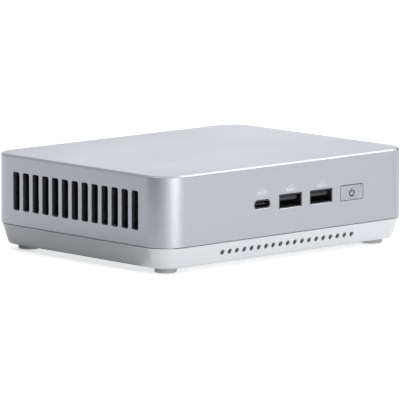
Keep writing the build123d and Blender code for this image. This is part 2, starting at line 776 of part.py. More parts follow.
# ================================================================ base tray
tray_top_z = split_z - seam
tray_height = tray_top_z - base_z
tray_draft = degrees(atan2(base_taper, tray_height))
floor_z = base_z + base_floor
foot_places = [(x, y) for y in (-foot_y, foot_y) for x in (-foot_x, foot_x)]
bracket_places = [(-bracket_spacing / 2, 0), (bracket_spacing / 2, 0)]
vent_places = [(-30.0, -24.0), (30.0, -24.0)]
recess_width = latch_width + latch_travel + 2 * slip
with BuildPart() as base_tray:
    with BuildSketch(Plane.XY.offset(tray_top_z)):
        RectangleRounded(width - 2 * base_inset, depth - 2 * base_inset, corner_radius - base_inset)
    extrude(amount=-tray_height, taper=tray_draft)
    fillet(base_tray.faces().sort_by(Axis.Z)[0].edges(), base_bottom_fillet)
    with BuildSketch(Plane.XY.offset(tray_top_z)):
        cavity_inset = base_inset + base_wall
        RectangleRounded(width - 2 * cavity_inset, depth - 2 * cavity_inset, corner_radius - cavity_inset)
    extrude(amount=floor_z - tray_top_z, taper=tray_draft, mode=Mode.SUBTRACT)
    # rim that locates the housing
    with BuildSketch(Plane.XY.offset(tray_top_z - rim_height)):
        RectangleRounded(inner_width - 2 * slip, inner_depth - 2 * slip, inner_corner_radius)
        rim_inset = slip + rim_thickness
        RectangleRounded(
            inner_width - 2 * rim_inset, inner_depth - 2 * rim_inset, inner_corner_radius - rim_thickness,
            mode=Mode.SUBTRACT,
        )
    extrude(amount=2 * rim_height)
    # bosses for the bracket inserts
    with BuildSketch(Plane.XY.offset(base_z)):
        with Locations(*bracket_places):
            Circle(insert_radius + boss_wall)
    extrude(amount=insert_height)
    with BuildSketch(Plane.XY.offset(base_z)):
        with Locations(*bracket_places):
            Circle(insert_radius)
    extrude(amount=insert_height, mode=Mode.SUBTRACT)
    # front holes
    with BuildSketch(Plane.XZ.offset(depth / 2)):
        with Locations((front_hole_x, front_hole_z)):
            with GridLocations(front_hole_pitch, 0, front_hole_count, 1):
                Circle(front_hole_radius)
    extrude(amount=-3 * base_wall, mode=Mode.SUBTRACT)
    # underside: vent slots, seats for the feet, and the latch's recess and slot
    with BuildSketch(Plane.XY.offset(base_z)):
        with Locations(*vent_places):
            with GridLocations(floor_vent_pitch, 0, floor_vent_count, 1):
                SlotOverall(floor_vent_length, floor_vent_width, rotation=90)
        with Locations((0, latch_y)):
            Rectangle(latch_neck[0] + latch_travel + 2 * slip, latch_neck[1] + 2 * slip)
    extrude(amount=base_floor, mode=Mode.SUBTRACT)
    with BuildSketch(Plane.XY.offset(base_z)):
        with Locations((0, latch_y)):
            RectangleRounded(recess_width, latch_depth + 2 * slip, 1.5)
    extrude(amount=latch_recess, mode=Mode.SUBTRACT)
    with BuildSketch(Plane.XY.offset(base_z)):
        with Locations(*foot_places):
            Circle(foot_radius + touch)
    extrude(amount=foot_seat, mode=Mode.SUBTRACT)
save(base_tray, "base_tray")

foot_names = ("front_left", "front_right", "rear_left", "rear_right")
for name, (x, y) in zip(foot_names, foot_places):
    with BuildPart() as foot:
        with BuildSketch(Plane((x, y, 0))):
            Circle(foot_radius)
        extrude(amount=foot_height + foot_seat)
        fillet(foot.edges().group_by(Axis.Z)[0], foot_edge)
    save(foot, f"foot_{name}")

with BuildPart() as bracket_inserts:
    with BuildSketch(Plane.XY.offset(base_z)):
        with Locations(*bracket_places):
            Circle(insert_radius - 0.03)
            Circle(insert_bore, mode=Mode.SUBTRACT)
    extrude(amount=insert_height)
save(bracket_inserts, "bracket_inserts")

with BuildPart() as base_shield:
    with BuildSketch(Plane.XY.offset(floor_z)):
        RectangleRounded(inner_width - 2 * shield_margin, inner_depth - 2 * shield_margin, 4.0)
        with Locations(*bracket_places):
            Circle(insert_radius + boss_wall + shield_gap, mode=Mode.SUBTRACT)
        with Locations(*vent_places):
            Rectangle(floor_vent_count * floor_vent_pitch, floor_vent_length + 2.0, mode=Mode.SUBTRACT)
        with Locations((0, latch_y)):
            Rectangle(latch_bar[0] + latch_travel + 4.0, latch_bar[1] + 4.0, mode=Mode.SUBTRACT)
    extrude(amount=shield_thickness)
    lip_y = shield_margin - inner_depth / 2 + shield_thickness / 2
    with BuildSketch(Plane((0, lip_y, floor_z))):
        Rectangle(inner_width - 2 * shield_margin - 12.0, shield_thickness)
    extrude(amount=shield_lip)
save(base_shield, "base_shield")

# hat-shaped plate and pad that carry the drive's heat down to the shield
pad_top_z = card_z - chip_height - touch
spreader_top_z = pad_top_z - pad_thickness
spreader_bottom_z = floor_z + shield_thickness
spreader_length = ssd_length - 18.0
spreader_wall = 1.5
with BuildPart() as drive_spreader:
    with BuildSketch(Plane((ssd_x, ssd_y, spreader_bottom_z))):
        Rectangle(spreader_length, ssd_width)
    extrude(amount=spreader_top_z - spreader_bottom_z)
    with BuildSketch(Plane((ssd_x, ssd_y, spreader_bottom_z))):
        Rectangle(spreader_length, ssd_width - 2 * spreader_wall)
    extrude(amount=spreader_top_z - spreader_bottom_z - spreader_wall, mode=Mode.SUBTRACT)
save(drive_spreader, "drive_spreader")

with BuildPart() as drive_pad:
    with BuildSketch(Plane((ssd_x, ssd_y, spreader_top_z))):
        Rectangle(spreader_length - 4.0, ssd_width - 4.0)
    extrude(amount=pad_thickness)
save(drive_pad, "drive_pad")

# ================================================================ release latch
latch_x = -latch_travel / 2
latch_gap = 0.1
with BuildPart() as release_latch:
    with BuildSketch(Plane((latch_x, latch_y, base_z + latch_gap))):
        RectangleRounded(latch_width, latch_depth, 1.3)
    extrude(amount=latch_recess - 2 * latch_gap)
    with BuildSketch(Plane((latch_x, latch_y, base_z + latch_recess - 2 * latch_gap))):
        Rectangle(*latch_neck)
    extrude(amount=base_floor - latch_recess + 3 * latch_gap)
    # finger ribs
    with BuildSketch(Plane((latch_x, latch_y, base_z + latch_gap))):
        with GridLocations(2.2, 0, 6, 1):
            Rectangle(1.0, latch_depth - 4.0)
    extrude(amount=0.5, mode=Mode.SUBTRACT)
save(release_latch, "release_latch")

with BuildPart() as latch_bar_piece:
    with BuildSketch(Plane((latch_x, latch_y, floor_z + latch_gap))):
        Rectangle(latch_bar[0], latch_bar[1])
    extrude(amount=latch_bar[2])
    with BuildSketch(Plane((latch_x, latch_y, floor_z + latch_gap))):
        with GridLocations(latch_bar[0] - 2.0, 0, 2, 1):
            Rectangle(2.0, latch_bar[1])
    extrude(amount=latch_bar[2] + 2.0)
save(latch_bar_piece, "latch_bar")
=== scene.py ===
import math
import random
import bmesh
import bpy
from mathutils import Matrix, Vector


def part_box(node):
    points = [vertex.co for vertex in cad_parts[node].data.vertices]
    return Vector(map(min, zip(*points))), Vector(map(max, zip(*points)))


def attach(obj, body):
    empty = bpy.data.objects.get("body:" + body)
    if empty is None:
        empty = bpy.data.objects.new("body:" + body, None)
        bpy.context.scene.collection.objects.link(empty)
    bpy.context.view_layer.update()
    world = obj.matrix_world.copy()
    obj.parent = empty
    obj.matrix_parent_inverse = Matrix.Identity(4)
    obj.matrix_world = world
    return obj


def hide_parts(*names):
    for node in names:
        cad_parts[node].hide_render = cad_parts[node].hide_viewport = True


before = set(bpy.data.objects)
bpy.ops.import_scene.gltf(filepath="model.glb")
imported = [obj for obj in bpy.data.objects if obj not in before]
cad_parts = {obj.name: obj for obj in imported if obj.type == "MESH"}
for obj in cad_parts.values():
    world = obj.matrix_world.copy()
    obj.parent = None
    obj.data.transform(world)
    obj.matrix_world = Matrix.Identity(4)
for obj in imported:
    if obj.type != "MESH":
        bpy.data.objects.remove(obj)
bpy.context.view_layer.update()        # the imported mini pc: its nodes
mm = 0.001
smoothBelow = 32         # degrees; sharper edges stay sharp in the shading
scene = bpy.context.scene
random.seed(11)
print("frame loaded:", len(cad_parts), "nodes")

# mesh helpers, all in millimetres


def nodeBox(node):
    low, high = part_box(node)
    return low / mm, high / mm


def roundedRect(width, height, radius, steps=6):
    # anticlockwise, a quarter arc at each corner
    points = []
    for corner, (sideX, sideY) in enumerate(((1, 1), (-1, 1), (-1, -1), (1, -1))):
        for step in range(steps + 1):
            angle = (corner + step / steps) * math.pi / 2
            x = sideX * (width / 2 - radius) + radius * math.cos(angle)
            y = sideY * (height / 2 - radius) + radius * math.sin(angle)
            points.append((x, y))
    return points


def circlePoints(radius, steps=24):
    turns = [2 * math.pi * step / steps for step in range(steps)]
    return [(radius * math.cos(a), radius * math.sin(a)) for a in turns]


def loftRings(bm, rings, matIndex=0):
    # skins a stack of rings with as many points each, and closes both ends
    rows = [[bm.verts.new(p) for p in ring] for ring in rings]
    count = len(rows[0])
    faces = []
    for a, b in zip(rows, rows[1:]):
        for i in range(count):
            faces.append(bm.faces.new((a[i], a[(i + 1) % count], b[(i + 1) % count], b[i])))
    faces.append(bm.faces.new(rows[0][::-1]))
    faces.append(bm.faces.new(rows[-1]))
    for face in faces:
        face.material_index = matIndex


def softBox(bm, centre, size, edge=0.1, matIndex=0):
    # a box with a small bevel on every edge
    made = bmesh.ops.create_cube(bm, size=1)["verts"]
    place = Matrix.Translation(centre) @ Matrix.Diagonal((*size, 1))
    bmesh.ops.transform(bm, matrix=place, verts=made)
    for face in dict.fromkeys(f for v in made for f in v.link_faces):
        face.material_index = matIndex
    if edge > 0:
        edges = list(dict.fromkeys(e for v in made for e in v.link_edges))
        bmesh.ops.bevel(bm, geom=edges, offset=edge, segments=1, affect="EDGES", material=matIndex)


def turned(bm, x, y, profile, steps=32, matIndex=0):
    # a lathe profile of (radius, z) pairs round a vertical line
    rings = [[(x + px, y + py, z) for px, py in circlePoints(r, steps)] for r, z in profile]
    loftRings(bm, rings, matIndex)


def linkMesh(name, bm):
    mesh = bpy.data.meshes.new(name)
    bm.to_mesh(mesh)
    bm.free()
    thing = bpy.data.objects.new(name, mesh)
    scene.collection.objects.link(thing)
    return thing


def inMetres(name, bm):
    bmesh.ops.recalc_face_normals(bm, faces=bm.faces)
    bmesh.ops.scale(bm, vec=(mm, mm, mm), verts=bm.verts)
    return linkMesh(name, bm)


def makePiece(name, bm, finishes, body, smoothAngle=smoothBelow, replaced=()):
    piece = inMetres(name, bm)
    for finish in finishes:
        piece.data.materials.append(finish)
    smoothEdges(piece, smoothAngle)
    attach(piece, body)
    if replaced:
        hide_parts(*replaced)
    return piece


def smoothEdges(piece, smoothAngle):
    mesh = piece.data
    mesh.polygons.foreach_set("use_smooth", [True] * len(mesh.polygons))
    mesh.set_sharp_from_angle(angle=math.radians(smoothAngle))
    weighted = piece.modifiers.new("evenShading", "WEIGHTED_NORMAL")
    weighted.keep_sharp = True


def carve(piece, cutters):
    # each cutter is a stack of rings in millimetres; one cut takes them all out
    bm = bmesh.new()
    for rings in cutters:
        loftRings(bm, rings)
    cutter = inMetres("cutter", bm)
    piece.modifiers.clear()
    cut = piece.modifiers.new("cut", "BOOLEAN")
    cut.operation = "DIFFERENCE"
    cut.solver = "EXACT"
    cut.object = cutter
    bpy.context.view_layer.update()
    graph = bpy.context.evaluated_depsgraph_get()
    cutMesh = bpy.data.meshes.new_from_object(piece.evaluated_get(graph))
    piece.modifiers.clear()
    old = piece.data
    piece.data = cutMesh
    bpy.data.meshes.remove(old)
    bpy.data.objects.remove(cutter)
    cutMesh.name = piece.name
    smoothEdges(piece, smoothBelow)


def flared(place, shape, flare, depth):
    # a cutter that starts outside and has a chamfered mouth; place(u, v, d) is the point d under the surface
    stops = ((-0.4, flare), (0.0, flare), (flare, 0.0), (depth, 0.0))
    return [[place(u, v, d) for u, v in shape(grow)] for d, grow in stops]


def slotShape(u, v, width, height, radius, steps=5):
    return lambda grow: [(u + a, v + b) for a, b in
                         roundedRect(width + 2 * grow, height + 2 * grow, radius + grow, steps)]


def roundShape(u, v, radius, steps=20):
    return lambda grow: [(u + a, v + b) for a, b in circlePoints(radius + grow, steps)]


# finishes


def startMaterial(name, colour, roughness, metallic=0.0):
    material = bpy.data.materials.new(name)
    material.use_nodes = True
    nodes = material.node_tree.nodes
    shader = nodes["Principled BSDF"]
    shader.inputs["Base Color"].default_value = (*colour, 1)
    shader.inputs["Roughness"].default_value = roughness
    shader.inputs["Metallic"].default_value = metallic
    return material, material.node_tree, shader


def addNoise(tree, scale, detail=3.0, stretch=(1, 1, 1)):
    place = tree.nodes.new("ShaderNodeTexCoord")
    mapping = tree.nodes.new("ShaderNodeMapping")
    mapping.inputs["Scale"].default_value = stretch
    noise = tree.nodes.new("ShaderNodeTexNoise")
    noise.inputs["Scale"].default_value = scale
    noise.inputs["Detail"].default_value = detail
    tree.links.new(place.outputs["Object"], mapping.inputs["Vector"])
    tree.links.new(mapping.outputs["Vector"], noise.inputs["Vector"])
    return noise.outputs[0]


def spread(tree, value, low, high):
    # maps a noise value from its usual middle range to the given one
    ranged = tree.nodes.new("ShaderNodeMapRange")
    ranged.inputs["From Min"].default_value = 0.3
    ranged.inputs["From Max"].default_value = 0.7
    ranged.inputs["To Min"].default_value = low
    ranged.inputs["To Max"].default_value = high
    tree.links.new(value, ranged.inputs["Value"])
    return ranged.outputs["Result"]


def tintBetween(tree, value, dark, light):
    ramp = tree.nodes.new("ShaderNodeValToRGB")
    ramp.color_ramp.elements[0].position = 0.35
    ramp.color_ramp.elements[0].color = (*dark, 1)
    ramp.color_ramp.elements[1].position = 0.65
    ramp.color_ramp.elements[1].color = (*light, 1)
    tree.links.new(value, ramp.inputs["Fac"])
    return ramp.outputs["Color"]


def shaded(colour, factor):
    return tuple(min(1.0, c * factor) for c in colour)


def tint(tree, shader, value, colour, darker, lighter):
    # lets the colour wander between two shades of itself
    wander = tintBetween(tree, value, shaded(colour, darker), shaded(colour, lighter))
    tree.links.new(wander, shader.inputs["Base Color"])


def vary(tree, shader, value, low, high):
    tree.links.new(spread(tree, value, low, high), shader.inputs["Roughness"])


def addBump(tree, shader, height, strength, distance, under=None):
    bump = tree.nodes.new("ShaderNodeBump")
    bump.inputs["Strength"].default_value = strength
    bump.inputs["Distance"].default_value = distance
    tree.links.new(height, bump.inputs["Height"])
    if under is not None:
        tree.links.new(under, bump.inputs["Normal"])
    tree.links.new(bump.outputs["Normal"], shader.inputs["Normal"])
    return bump.outputs["Normal"]


shellFinish = {
    "colour": (0.335, 0.345, 0.366),    # clear anodised aluminium
    "roughness": 0.36,
    "brushing": 0.55,                   # how far the brushing stretches a highlight
    "streakScale": 26.0,
    "streakStretch": (1, 1, 130),       # fine level lines round the sides
    "grainScale": 2600.0,
}


def brushedShell():
    roughness = shellFinish["roughness"]
    material, tree, shader = startMaterial("anodisedShell", shellFinish["colour"], roughness, 1.0)
    shader.inputs["Anisotropic"].default_value = shellFinish["brushing"]
    # the brushing runs level round the sides and along X on top
    normal = tree.nodes.new("ShaderNodeNewGeometry")
    along = tree.nodes.new("ShaderNodeVectorMath")
    along.operation = "CROSS_PRODUCT"
    along.inputs[1].default_value = (0.0, 0.02, 1.0)
    tree.links.new(normal.outputs["Normal"], along.inputs[0])
    tree.links.new(along.outputs["Vector"], shader.inputs["Tangent"])
    streaks = addNoise(tree, shellFinish["streakScale"], 4.0, shellFinish["streakStretch"])
    clouds = addNoise(tree, 14.0, 2.0)
    grain = addNoise(tree, shellFinish["grainScale"], 1.0)
    tint(tree, shader, streaks, shellFinish["colour"], 0.984, 1.016)
    vary(tree, shader, clouds, 0.34, 0.39)
    fine = addBump(tree, shader, grain, 0.05, 0.00004)
    addBump(tree, shader, streaks, 0.06, 0.00005, fine)
    return material


def satinTray():
    colour = (0.475, 0.482, 0.495)
    material, tree, shader = startMaterial("satinTray", colour, 0.36, 0.5)
    shader.inputs["Coat Weight"].default_value = 0.08
    clouds = addNoise(tree, 30.0, 2.0)
    grain = addNoise(tree, 3000.0, 1.0)
    tint(tree, shader, clouds, colour, 0.985, 1.01)
    vary(tree, shader, grain, 0.33, 0.41)
    addBump(tree, shader, grain, 0.08, 0.00004)
    return material


def moulded(name, colour, roughness, grainScale=2200.0, grainDepth=0.12):
    # spark-eroded plastic or rubber: fine grain, slight colour and gloss variation
    material, tree, shader = startMaterial(name, colour, roughness)
    clouds = addNoise(tree, 60.0, 3.0)
    grain = addNoise(tree, grainScale, 2.0)
    tint(tree, shader, clouds, colour, 0.88, 1.12)
    vary(tree, shader, grain, roughness - 0.06, roughness + 0.08)
    addBump(tree, shader, grain, grainDepth, 0.00006)
    return material


def metalFinish(name, colour, roughness, stretch=(1, 1, 1), scale=300.0, depth=0.06):
    # plated or bare metal with drawing or rolling marks
    material, tree, shader = startMaterial(name, colour, roughness, 1.0)
    marks = addNoise(tree, scale, 4.0, stretch)
    clouds = addNoise(tree, 90.0, 3.0)
    tint(tree, shader, clouds, colour, 0.86, 1.08)
    vary(tree, shader, marks, roughness - 0.07, roughness + 0.09)
    addBump(tree, shader, marks, depth, 0.00004)
    return material


def solderMask():
    # circuit board: mask over fine copper tracks and rows of small vias
    colour = (0.012, 0.055, 0.032)
    material, tree, shader = startMaterial("solderMask", colour, 0.32)
    place = tree.nodes.new("ShaderNodeTexCoord")
    tracks = tree.nodes.new("ShaderNodeTexBrick")
    tracks.offset = 0.37
    tracks.inputs["Scale"].default_value = 420.0
    tracks.inputs["Mortar Size"].default_value = 0.16
    tracks.inputs["Color1"].default_value = (0.014, 0.060, 0.036, 1)
    tracks.inputs["Color2"].default_value = (0.010, 0.045, 0.028, 1)
    tracks.inputs["Mortar"].default_value = (0.026, 0.105, 0.060, 1)
    tree.links.new(place.outputs["Object"], tracks.inputs["Vector"])
    vias = tree.nodes.new("ShaderNodeTexVoronoi")
    vias.inputs["Scale"].default_value = 330.0
    tree.links.new(place.outputs["Object"], vias.inputs["Vector"])
    dot = tree.nodes.new("ShaderNodeMath")
    dot.operation = "LESS_THAN"
    dot.inputs[1].default_value = 0.13
    tree.links.new(vias.outputs["Distance"], dot.inputs[0])
    mix = tree.nodes.new("ShaderNodeMix")
    mix.data_type = "RGBA"
    mix.inputs["B"].default_value = (0.55, 0.52, 0.36, 1)
    tree.links.new(dot.outputs[0], mix.inputs["Factor"])
    tree.links.new(tracks.outputs["Color"], mix.inputs["A"])
    tree.links.new(mix.outputs["Result"], shader.inputs["Base Color"])
    addBump(tree, shader, tracks.outputs["Fac"], 0.15, 0.00005)
    return material


anodised = brushedShell()
traySatin = satinTray()
buttonSatin = moulded("buttonSatin", (0.245, 0.256, 0.268), 0.40, 2600.0, 0.06)
blackMoulding = moulded("blackMoulding", (0.014, 0.014, 0.015), 0.48)
# black plastic painted darker than the other black mouldings: painted shade on the tongues inside the sockets
tongueBlackAndShade = moulded("tongueBlackAndShade", (0.006, 0.006, 0.006), 0.5)
# black plastic painted darker than the other black mouldings: painted shade behind the vent slots
ventBlackAndShade = moulded("ventBlackAndShade", (0.004, 0.004, 0.0045), 0.6)
footRubber = moulded("footRubber", (0.26, 0.265, 0.27), 0.66, 1400.0, 0.2)
# nickel painted much darker than the bare metal: painted shade for the inside of the socket mouths
nickelWithPaintedShade = metalFinish("nickelWithPaintedShade", (0.13, 0.13, 0.135), 0.36)
brightNickel = metalFinish("brightNickel", (0.62, 0.61, 0.58), 0.28)
zincSteel = metalFinish("zincSteel", (0.60, 0.61, 0.62), 0.34, (1, 12, 1))
bareFins = metalFinish("bareFins", (0.70, 0.71, 0.72), 0.40, (20, 1, 1))
copperMetal = metalFinish("copperMetal", (0.72, 0.34, 0.20), 0.30, (1, 6, 1))
turnedBrass = metalFinish("turnedBrass", (0.70, 0.52, 0.22), 0.30)
goldContact = metalFinish("goldContact", (0.85, 0.60, 0.22), 0.22)
whiteInk = moulded("whiteInk", (0.44, 0.45, 0.46), 0.55, 2600.0, 0.04)
darkInk = moulded("darkInk", (0.006, 0.006, 0.007), 0.75, 2600.0, 0.04)
boardMask = solderMask()
chipBlack = moulded("chipBlack", (0.022, 0.022, 0.024), 0.42, 1800.0, 0.08)
coilGrey = moulded("coilGrey", (0.10, 0.10, 0.105), 0.55, 1500.0, 0.2)
capacitorTan = moulded("capacitorTan", (0.36, 0.25, 0.15), 0.50)
solderTin = metalFinish("solderTin", (0.66, 0.67, 0.69), 0.30)
lampWindow = moulded("lampWindow", (0.30, 0.34, 0.22), 0.25)
polishedSilicon = metalFinish("polishedSilicon", (0.20, 0.21, 0.24), 0.16)
greyPad = moulded("greyPad", (0.42, 0.47, 0.53), 0.75, 900.0, 0.3)
print("finishes made")

# housing shell

shell = {
    "corner": 11.6, "wall": 2.0, "innerCorner": 6.6, "cornerSteps": 28,
    "lowerChamfer": 0.12, "innerChamfer": 0.15,
    # the bright bevel round the top: how far in and how far down
    "topEdge": ((0.0, 0.95), (0.03, 0.83), (0.12, 0.72), (0.68, 0.16), (0.80, 0.05), (0.95, 0.0)),
    # holes are given as width, height and corner
    "slotCount": 13, "slotPitch": 6.35, "slot": (4.2, 16.4, 1.0), "slotMiddleY": 0.5, "slotMiddleZ": 26.5,
    "slotFlare": 0.18,
    "portGap": 0.2, "portCorner": 0.35, "portFlare": 0.22, "typeCHole": (9.34, 3.6, 1.79),
    "buttonGap": 0.2, "buttonCorner": 1.1, "buttonFlare": 0.12,
    "lockY": -46.5, "lockHole": (7.0, 3.0, 1.49), "lockFlare": 0.25,
    "rearOpening": (120.0, 14.7, 39.4),     # width, bottom and top
    "rearCorner": 1.5, "rearFlare": 0.3,
}
# the marks over the sockets: bars, then a dot and a dash above them
icons = {
    "barsOver": (5, 4, 4), "textLift": 4.8, "bar": (0.72, 1.5, 0.2), "barGap": 1.2, "depth": 0.08,
    "markLift": 6.45, "dotX": 0.9, "dot": (0.8, 0.8, 0.39), "dashX": -0.5, "dash": (1.5, 0.35, 0.15),
}
button = {"width": 13.5, "height": 6.5, "corner": 0.9, "flange": 1.4, "flangeThickness": 1.0,
          "iconRadius": 1.36, "stroke": 0.62, "iconDepth": 0.15, "iconDrop": 0.15, "gapAngle": 38,
          "barLength": 1.75, "arcSteps": 28}
shellLow, shellHigh = nodeBox("top_shell")
shellWidth = shellHigh.x - shellLow.x
shellDepth = shellHigh.y - shellLow.y
typeALow, typeAHigh = nodeBox("front_usb_a_1")
portZ = (typeALow.z + typeAHigh.z) / 2
portXs = [sum(v.x for v in nodeBox(node)) / 2 for node in ("front_usb_a_1", "front_usb_a_2")]
typeCx = sum(v.x for v in nodeBox("front_usb_c")) / 2
buttonLow, buttonHigh = nodeBox("power_button")
buttonX = (buttonLow.x + buttonHigh.x) / 2


def leftWall(u, v, d):
    return (shellLow.x + d, u, v)


def rightWall(u, v, d):
    return (shellHigh.x - d, u, v)


def frontWall(u, v, d):
    return (u, shellLow.y + d, v)


def rearWall(u, v, d):
    return (u, shellHigh.y - d, v)


def iconShapes():
    # middle, width, height and corner of each mark
    shapes = []
    for x, bars in zip((typeCx, *portXs), icons["barsOver"]):
        for bar in range(bars):
            u = x + (bar - (bars - 1) / 2) * icons["barGap"]
            shapes.append((u, portZ + icons["textLift"], *icons["bar"]))
        shapes.append((x + icons["dotX"], portZ + icons["markLift"], *icons["dot"]))
        shapes.append((x + icons["dashX"], portZ + icons["markLift"], *icons["dash"]))
    return shapes


def makeShell():
    def ring(inset, z, radius):
        outline = roundedRect(shellWidth - 2 * inset, shellDepth - 2 * inset, radius, shell["cornerSteps"])
        return [(x, y, z) for x, y in outline]

    bm = bmesh.new()
    wall, chamfer, broken = shell["wall"], shell["lowerChamfer"], shell["innerChamfer"]
    innerCorner = shell["innerCorner"]
    bottom = shellLow.z
    rings = [ring(wall, shellHigh.z - wall, innerCorner), ring(wall, bottom + broken, innerCorner),
             ring(wall - broken, bottom, innerCorner + broken),
             ring(chamfer, bottom, shell["corner"] - chamfer), ring(0, bottom + chamfer, shell["corner"])]
    rings += [ring(inset, shellHigh.z - drop, shell["corner"] - inset) for inset, drop in shell["topEdge"]]
    loftRings(bm, rings)
    piece = makePiece("housingShell", bm, [anodised], "housing", replaced=["top_shell"])
    through = wall + 1
    cutters = []
    for number in range(shell["slotCount"]):
        y = shell["slotMiddleY"] + (number - (shell["slotCount"] - 1) / 2) * shell["slotPitch"]
        shape = slotShape(y, shell["slotMiddleZ"], *shell["slot"])
        cutters.append(flared(leftWall, shape, shell["slotFlare"], through))
        cutters.append(flared(rightWall, shape, shell["slotFlare"], through))
    gap = 2 * shell["portGap"]
    socketWidth, socketHeight = typeAHigh.x - typeALow.x, typeAHigh.z - typeALow.z
    for x in portXs:
        shape = slotShape(x, portZ, socketWidth + gap, socketHeight + gap, shell["portCorner"])
        cutters.append(flared(frontWall, shape, shell["portFlare"], through))
    shape = slotShape(typeCx, portZ, *shell["typeCHole"], 10)
    cutters.append(flared(frontWall, shape, shell["portFlare"], through))
    wide, tall = button["width"] + 2 * shell["buttonGap"], button["height"] + 2 * shell["buttonGap"]
    shape = slotShape(buttonX, portZ, wide, tall, shell["buttonCorner"])
    cutters.append(flared(frontWall, shape, shell["buttonFlare"], through))
    openWidth, openLow, openTop = shell["rearOpening"]
    shape = slotShape(0, (openLow + openTop) / 2, openWidth, openTop - openLow, shell["rearCorner"])
    cutters.append(flared(rearWall, shape, shell["rearFlare"], through))
    shape = slotShape(shell["lockY"], shell["slotMiddleZ"], *shell["lockHole"], 8)
    cutters.append(flared(rightWall, shape, shell["lockFlare"], through))
    for u, v, width, height, radius in iconShapes():
        outline = [(u + a, v + b) for a, b in roundedRect(width, height, radius, 3)]
        cutters.append([[frontWall(a, b, d) for a, b in outline] for d in (-0.3, icons["depth"])])
    carve(piece, cutters)


def makeIcons():
    # the printed ink lies in the shallow marks
    bm = bmesh.new()
    for u, v, width, height, radius in iconShapes():
        outline = [(u + a, v + b) for a, b in roundedRect(width - 0.02, height - 0.02, radius - 0.01, 3)]
        loftRings(bm, [[frontWall(a, b, d) for a, b in outline] for d in (icons["depth"], 0.005)])
    makePiece("socketIcons", bm, [whiteInk], "housing")


makeShell()
makeIcons()
print("housing shell carved")

# power button


def iconArc(grow):
    # the broken ring of the standby sign, as one outline
    outer = button["iconRadius"] + button["stroke"] / 2 + grow
    inner = button["iconRadius"] - button["stroke"] / 2 - grow
    start = math.radians(90 + button["gapAngle"] - 8 * grow)
    end = math.radians(450 - button["gapAngle"] + 8 * grow)
    steps = button["arcSteps"]
    turns = [start + (end - start) * step / steps for step in range(steps + 1)]
    points = [(outer * math.cos(a), outer * math.sin(a)) for a in turns]
    points += [(inner * math.cos(a), inner * math.sin(a)) for a in reversed(turns)]
    return [(buttonX + u, portZ - button["iconDrop"] + v) for u, v in points]


def iconBar(grow):
    outline = roundedRect(button["stroke"] + 2 * grow, button["barLength"] + 2 * grow, 0.16, 3)
    middleZ = portZ - button["iconDrop"] + button["iconRadius"] * 0.75
    return [(buttonX + u, middleZ + v) for u, v in outline]


def makeButton():
    bm = bmesh.new()

    def ring(grow, depthIn):
        wide, tall = button["width"] + 2 * grow, button["height"] + 2 * grow
        outline = roundedRect(wide, tall, button["corner"] + grow)
        return [(buttonX + u, buttonLow.y + depthIn, portZ + v) for u, v in outline]

    full = buttonHigh.y - buttonLow.y
    flangeAt = full - button["flangeThickness"]
    loftRings(bm, [ring(-0.28, 0), ring(-0.1, 0.05), ring(0, 0.22), ring(0, flangeAt),
                   ring(button["flange"] - 0.15, flangeAt), ring(button["flange"], flangeAt + 0.15),
                   ring(button["flange"], full)])
    piece = makePiece("powerButton", bm, [buttonSatin], "power_button",
                      replaced=["power_button"])
    cutters = [[[(u, buttonLow.y + d, v) for u, v in shape(0.0)] for d in (-0.2, button["iconDepth"])]
               for shape in (iconArc, iconBar)]
    carve(piece, cutters)
    bm = bmesh.new()
    for shape in (iconArc, iconBar):
        depths = (button["iconDepth"], 0.02)
        loftRings(bm, [[(u, buttonLow.y + d, v) for u, v in shape(-0.01)] for d in depths])
    makePiece("standbySign", bm, [darkInk], "power_button")


makeButton()
print("power button made")

# sockets

# contacts: how many, pitch, where they start behind the mouth, length and width
typeA = {"wall": 0.32, "corner": 0.55, "tongueWidth": 11.1, "tongueThick": 1.9, "tongueLift": 0.95,
         "tongueEdge": 0.25, "contacts": (4, 2.3, 2.6, 7.0, 1.0)}
typeC = {"wall": 0.3, "height": 3.2, "tongueWidth": 6.6, "tongueThick": 0.7, "tongueEdge": 0.15,
         "riserWidth": 5.6, "contacts": (10, 0.5, 1.4, 3.6, 0.26)}


def socketTube(bm, shape, x, z, mouthY, facing, length, wall):
    # a folded metal tube with a rolled lip, closed at the back; facing is -1 at the front and 1 at the rear
    def ring(grow, d):
        return [(x + u, mouthY - facing * d, z + v) for u, v in shape(grow)]

    loftRings(bm, [ring(0, length), ring(0, 0.18), ring(-0.08, 0), ring(-wall + 0.08, 0), ring(-wall, 0.18),
                   ring(-wall, length - 1.2)])


def contactRow(bm, x, z, mouthY, facing, contacts):
    count, pitch, start, length, width = contacts
    for number in range(count):
        u = x + (number - (count - 1) / 2) * pitch
        softBox(bm, (u, mouthY - facing * (start + length / 2), z), (width, length, 0.12), 0.03, 1)


def typeATongue(name, x, z, mouthY, facing, length, edge, grow=0.0):
    # it grows a little where it covers a plain tongue of the socket's own block
    bm = bmesh.new()
    tongueZ = z + typeA["tongueLift"]
    thick = typeA["tongueThick"] + grow
    size = (typeA["tongueWidth"] + grow, length - 2.6 + 4 * grow, thick)
    softBox(bm, (x, mouthY - facing * (length + 0.6) / 2, tongueZ), size, edge)
    contactRow(bm, x, tongueZ - thick / 2 - 0.03, mouthY, facing, typeA["contacts"])
    makePiece(name + "Tongue", bm, [tongueBlackAndShade, goldContact], "housing")


def frontTypeA(name, node, x):
    bm = bmesh.new()
    boxLow, boxHigh = nodeBox(node)
    shape = slotShape(0, 0, boxHigh.x - boxLow.x, boxHigh.z - boxLow.z, typeA["corner"], 4)
    length = typeAHigh.y - typeALow.y
    socketTube(bm, shape, x, portZ, typeALow.y, -1, length, typeA["wall"])
    makePiece(name + "Tube", bm, [nickelWithPaintedShade], "housing", replaced=[node])
    typeATongue(name, x, portZ, typeALow.y, -1, length, typeA["tongueEdge"])


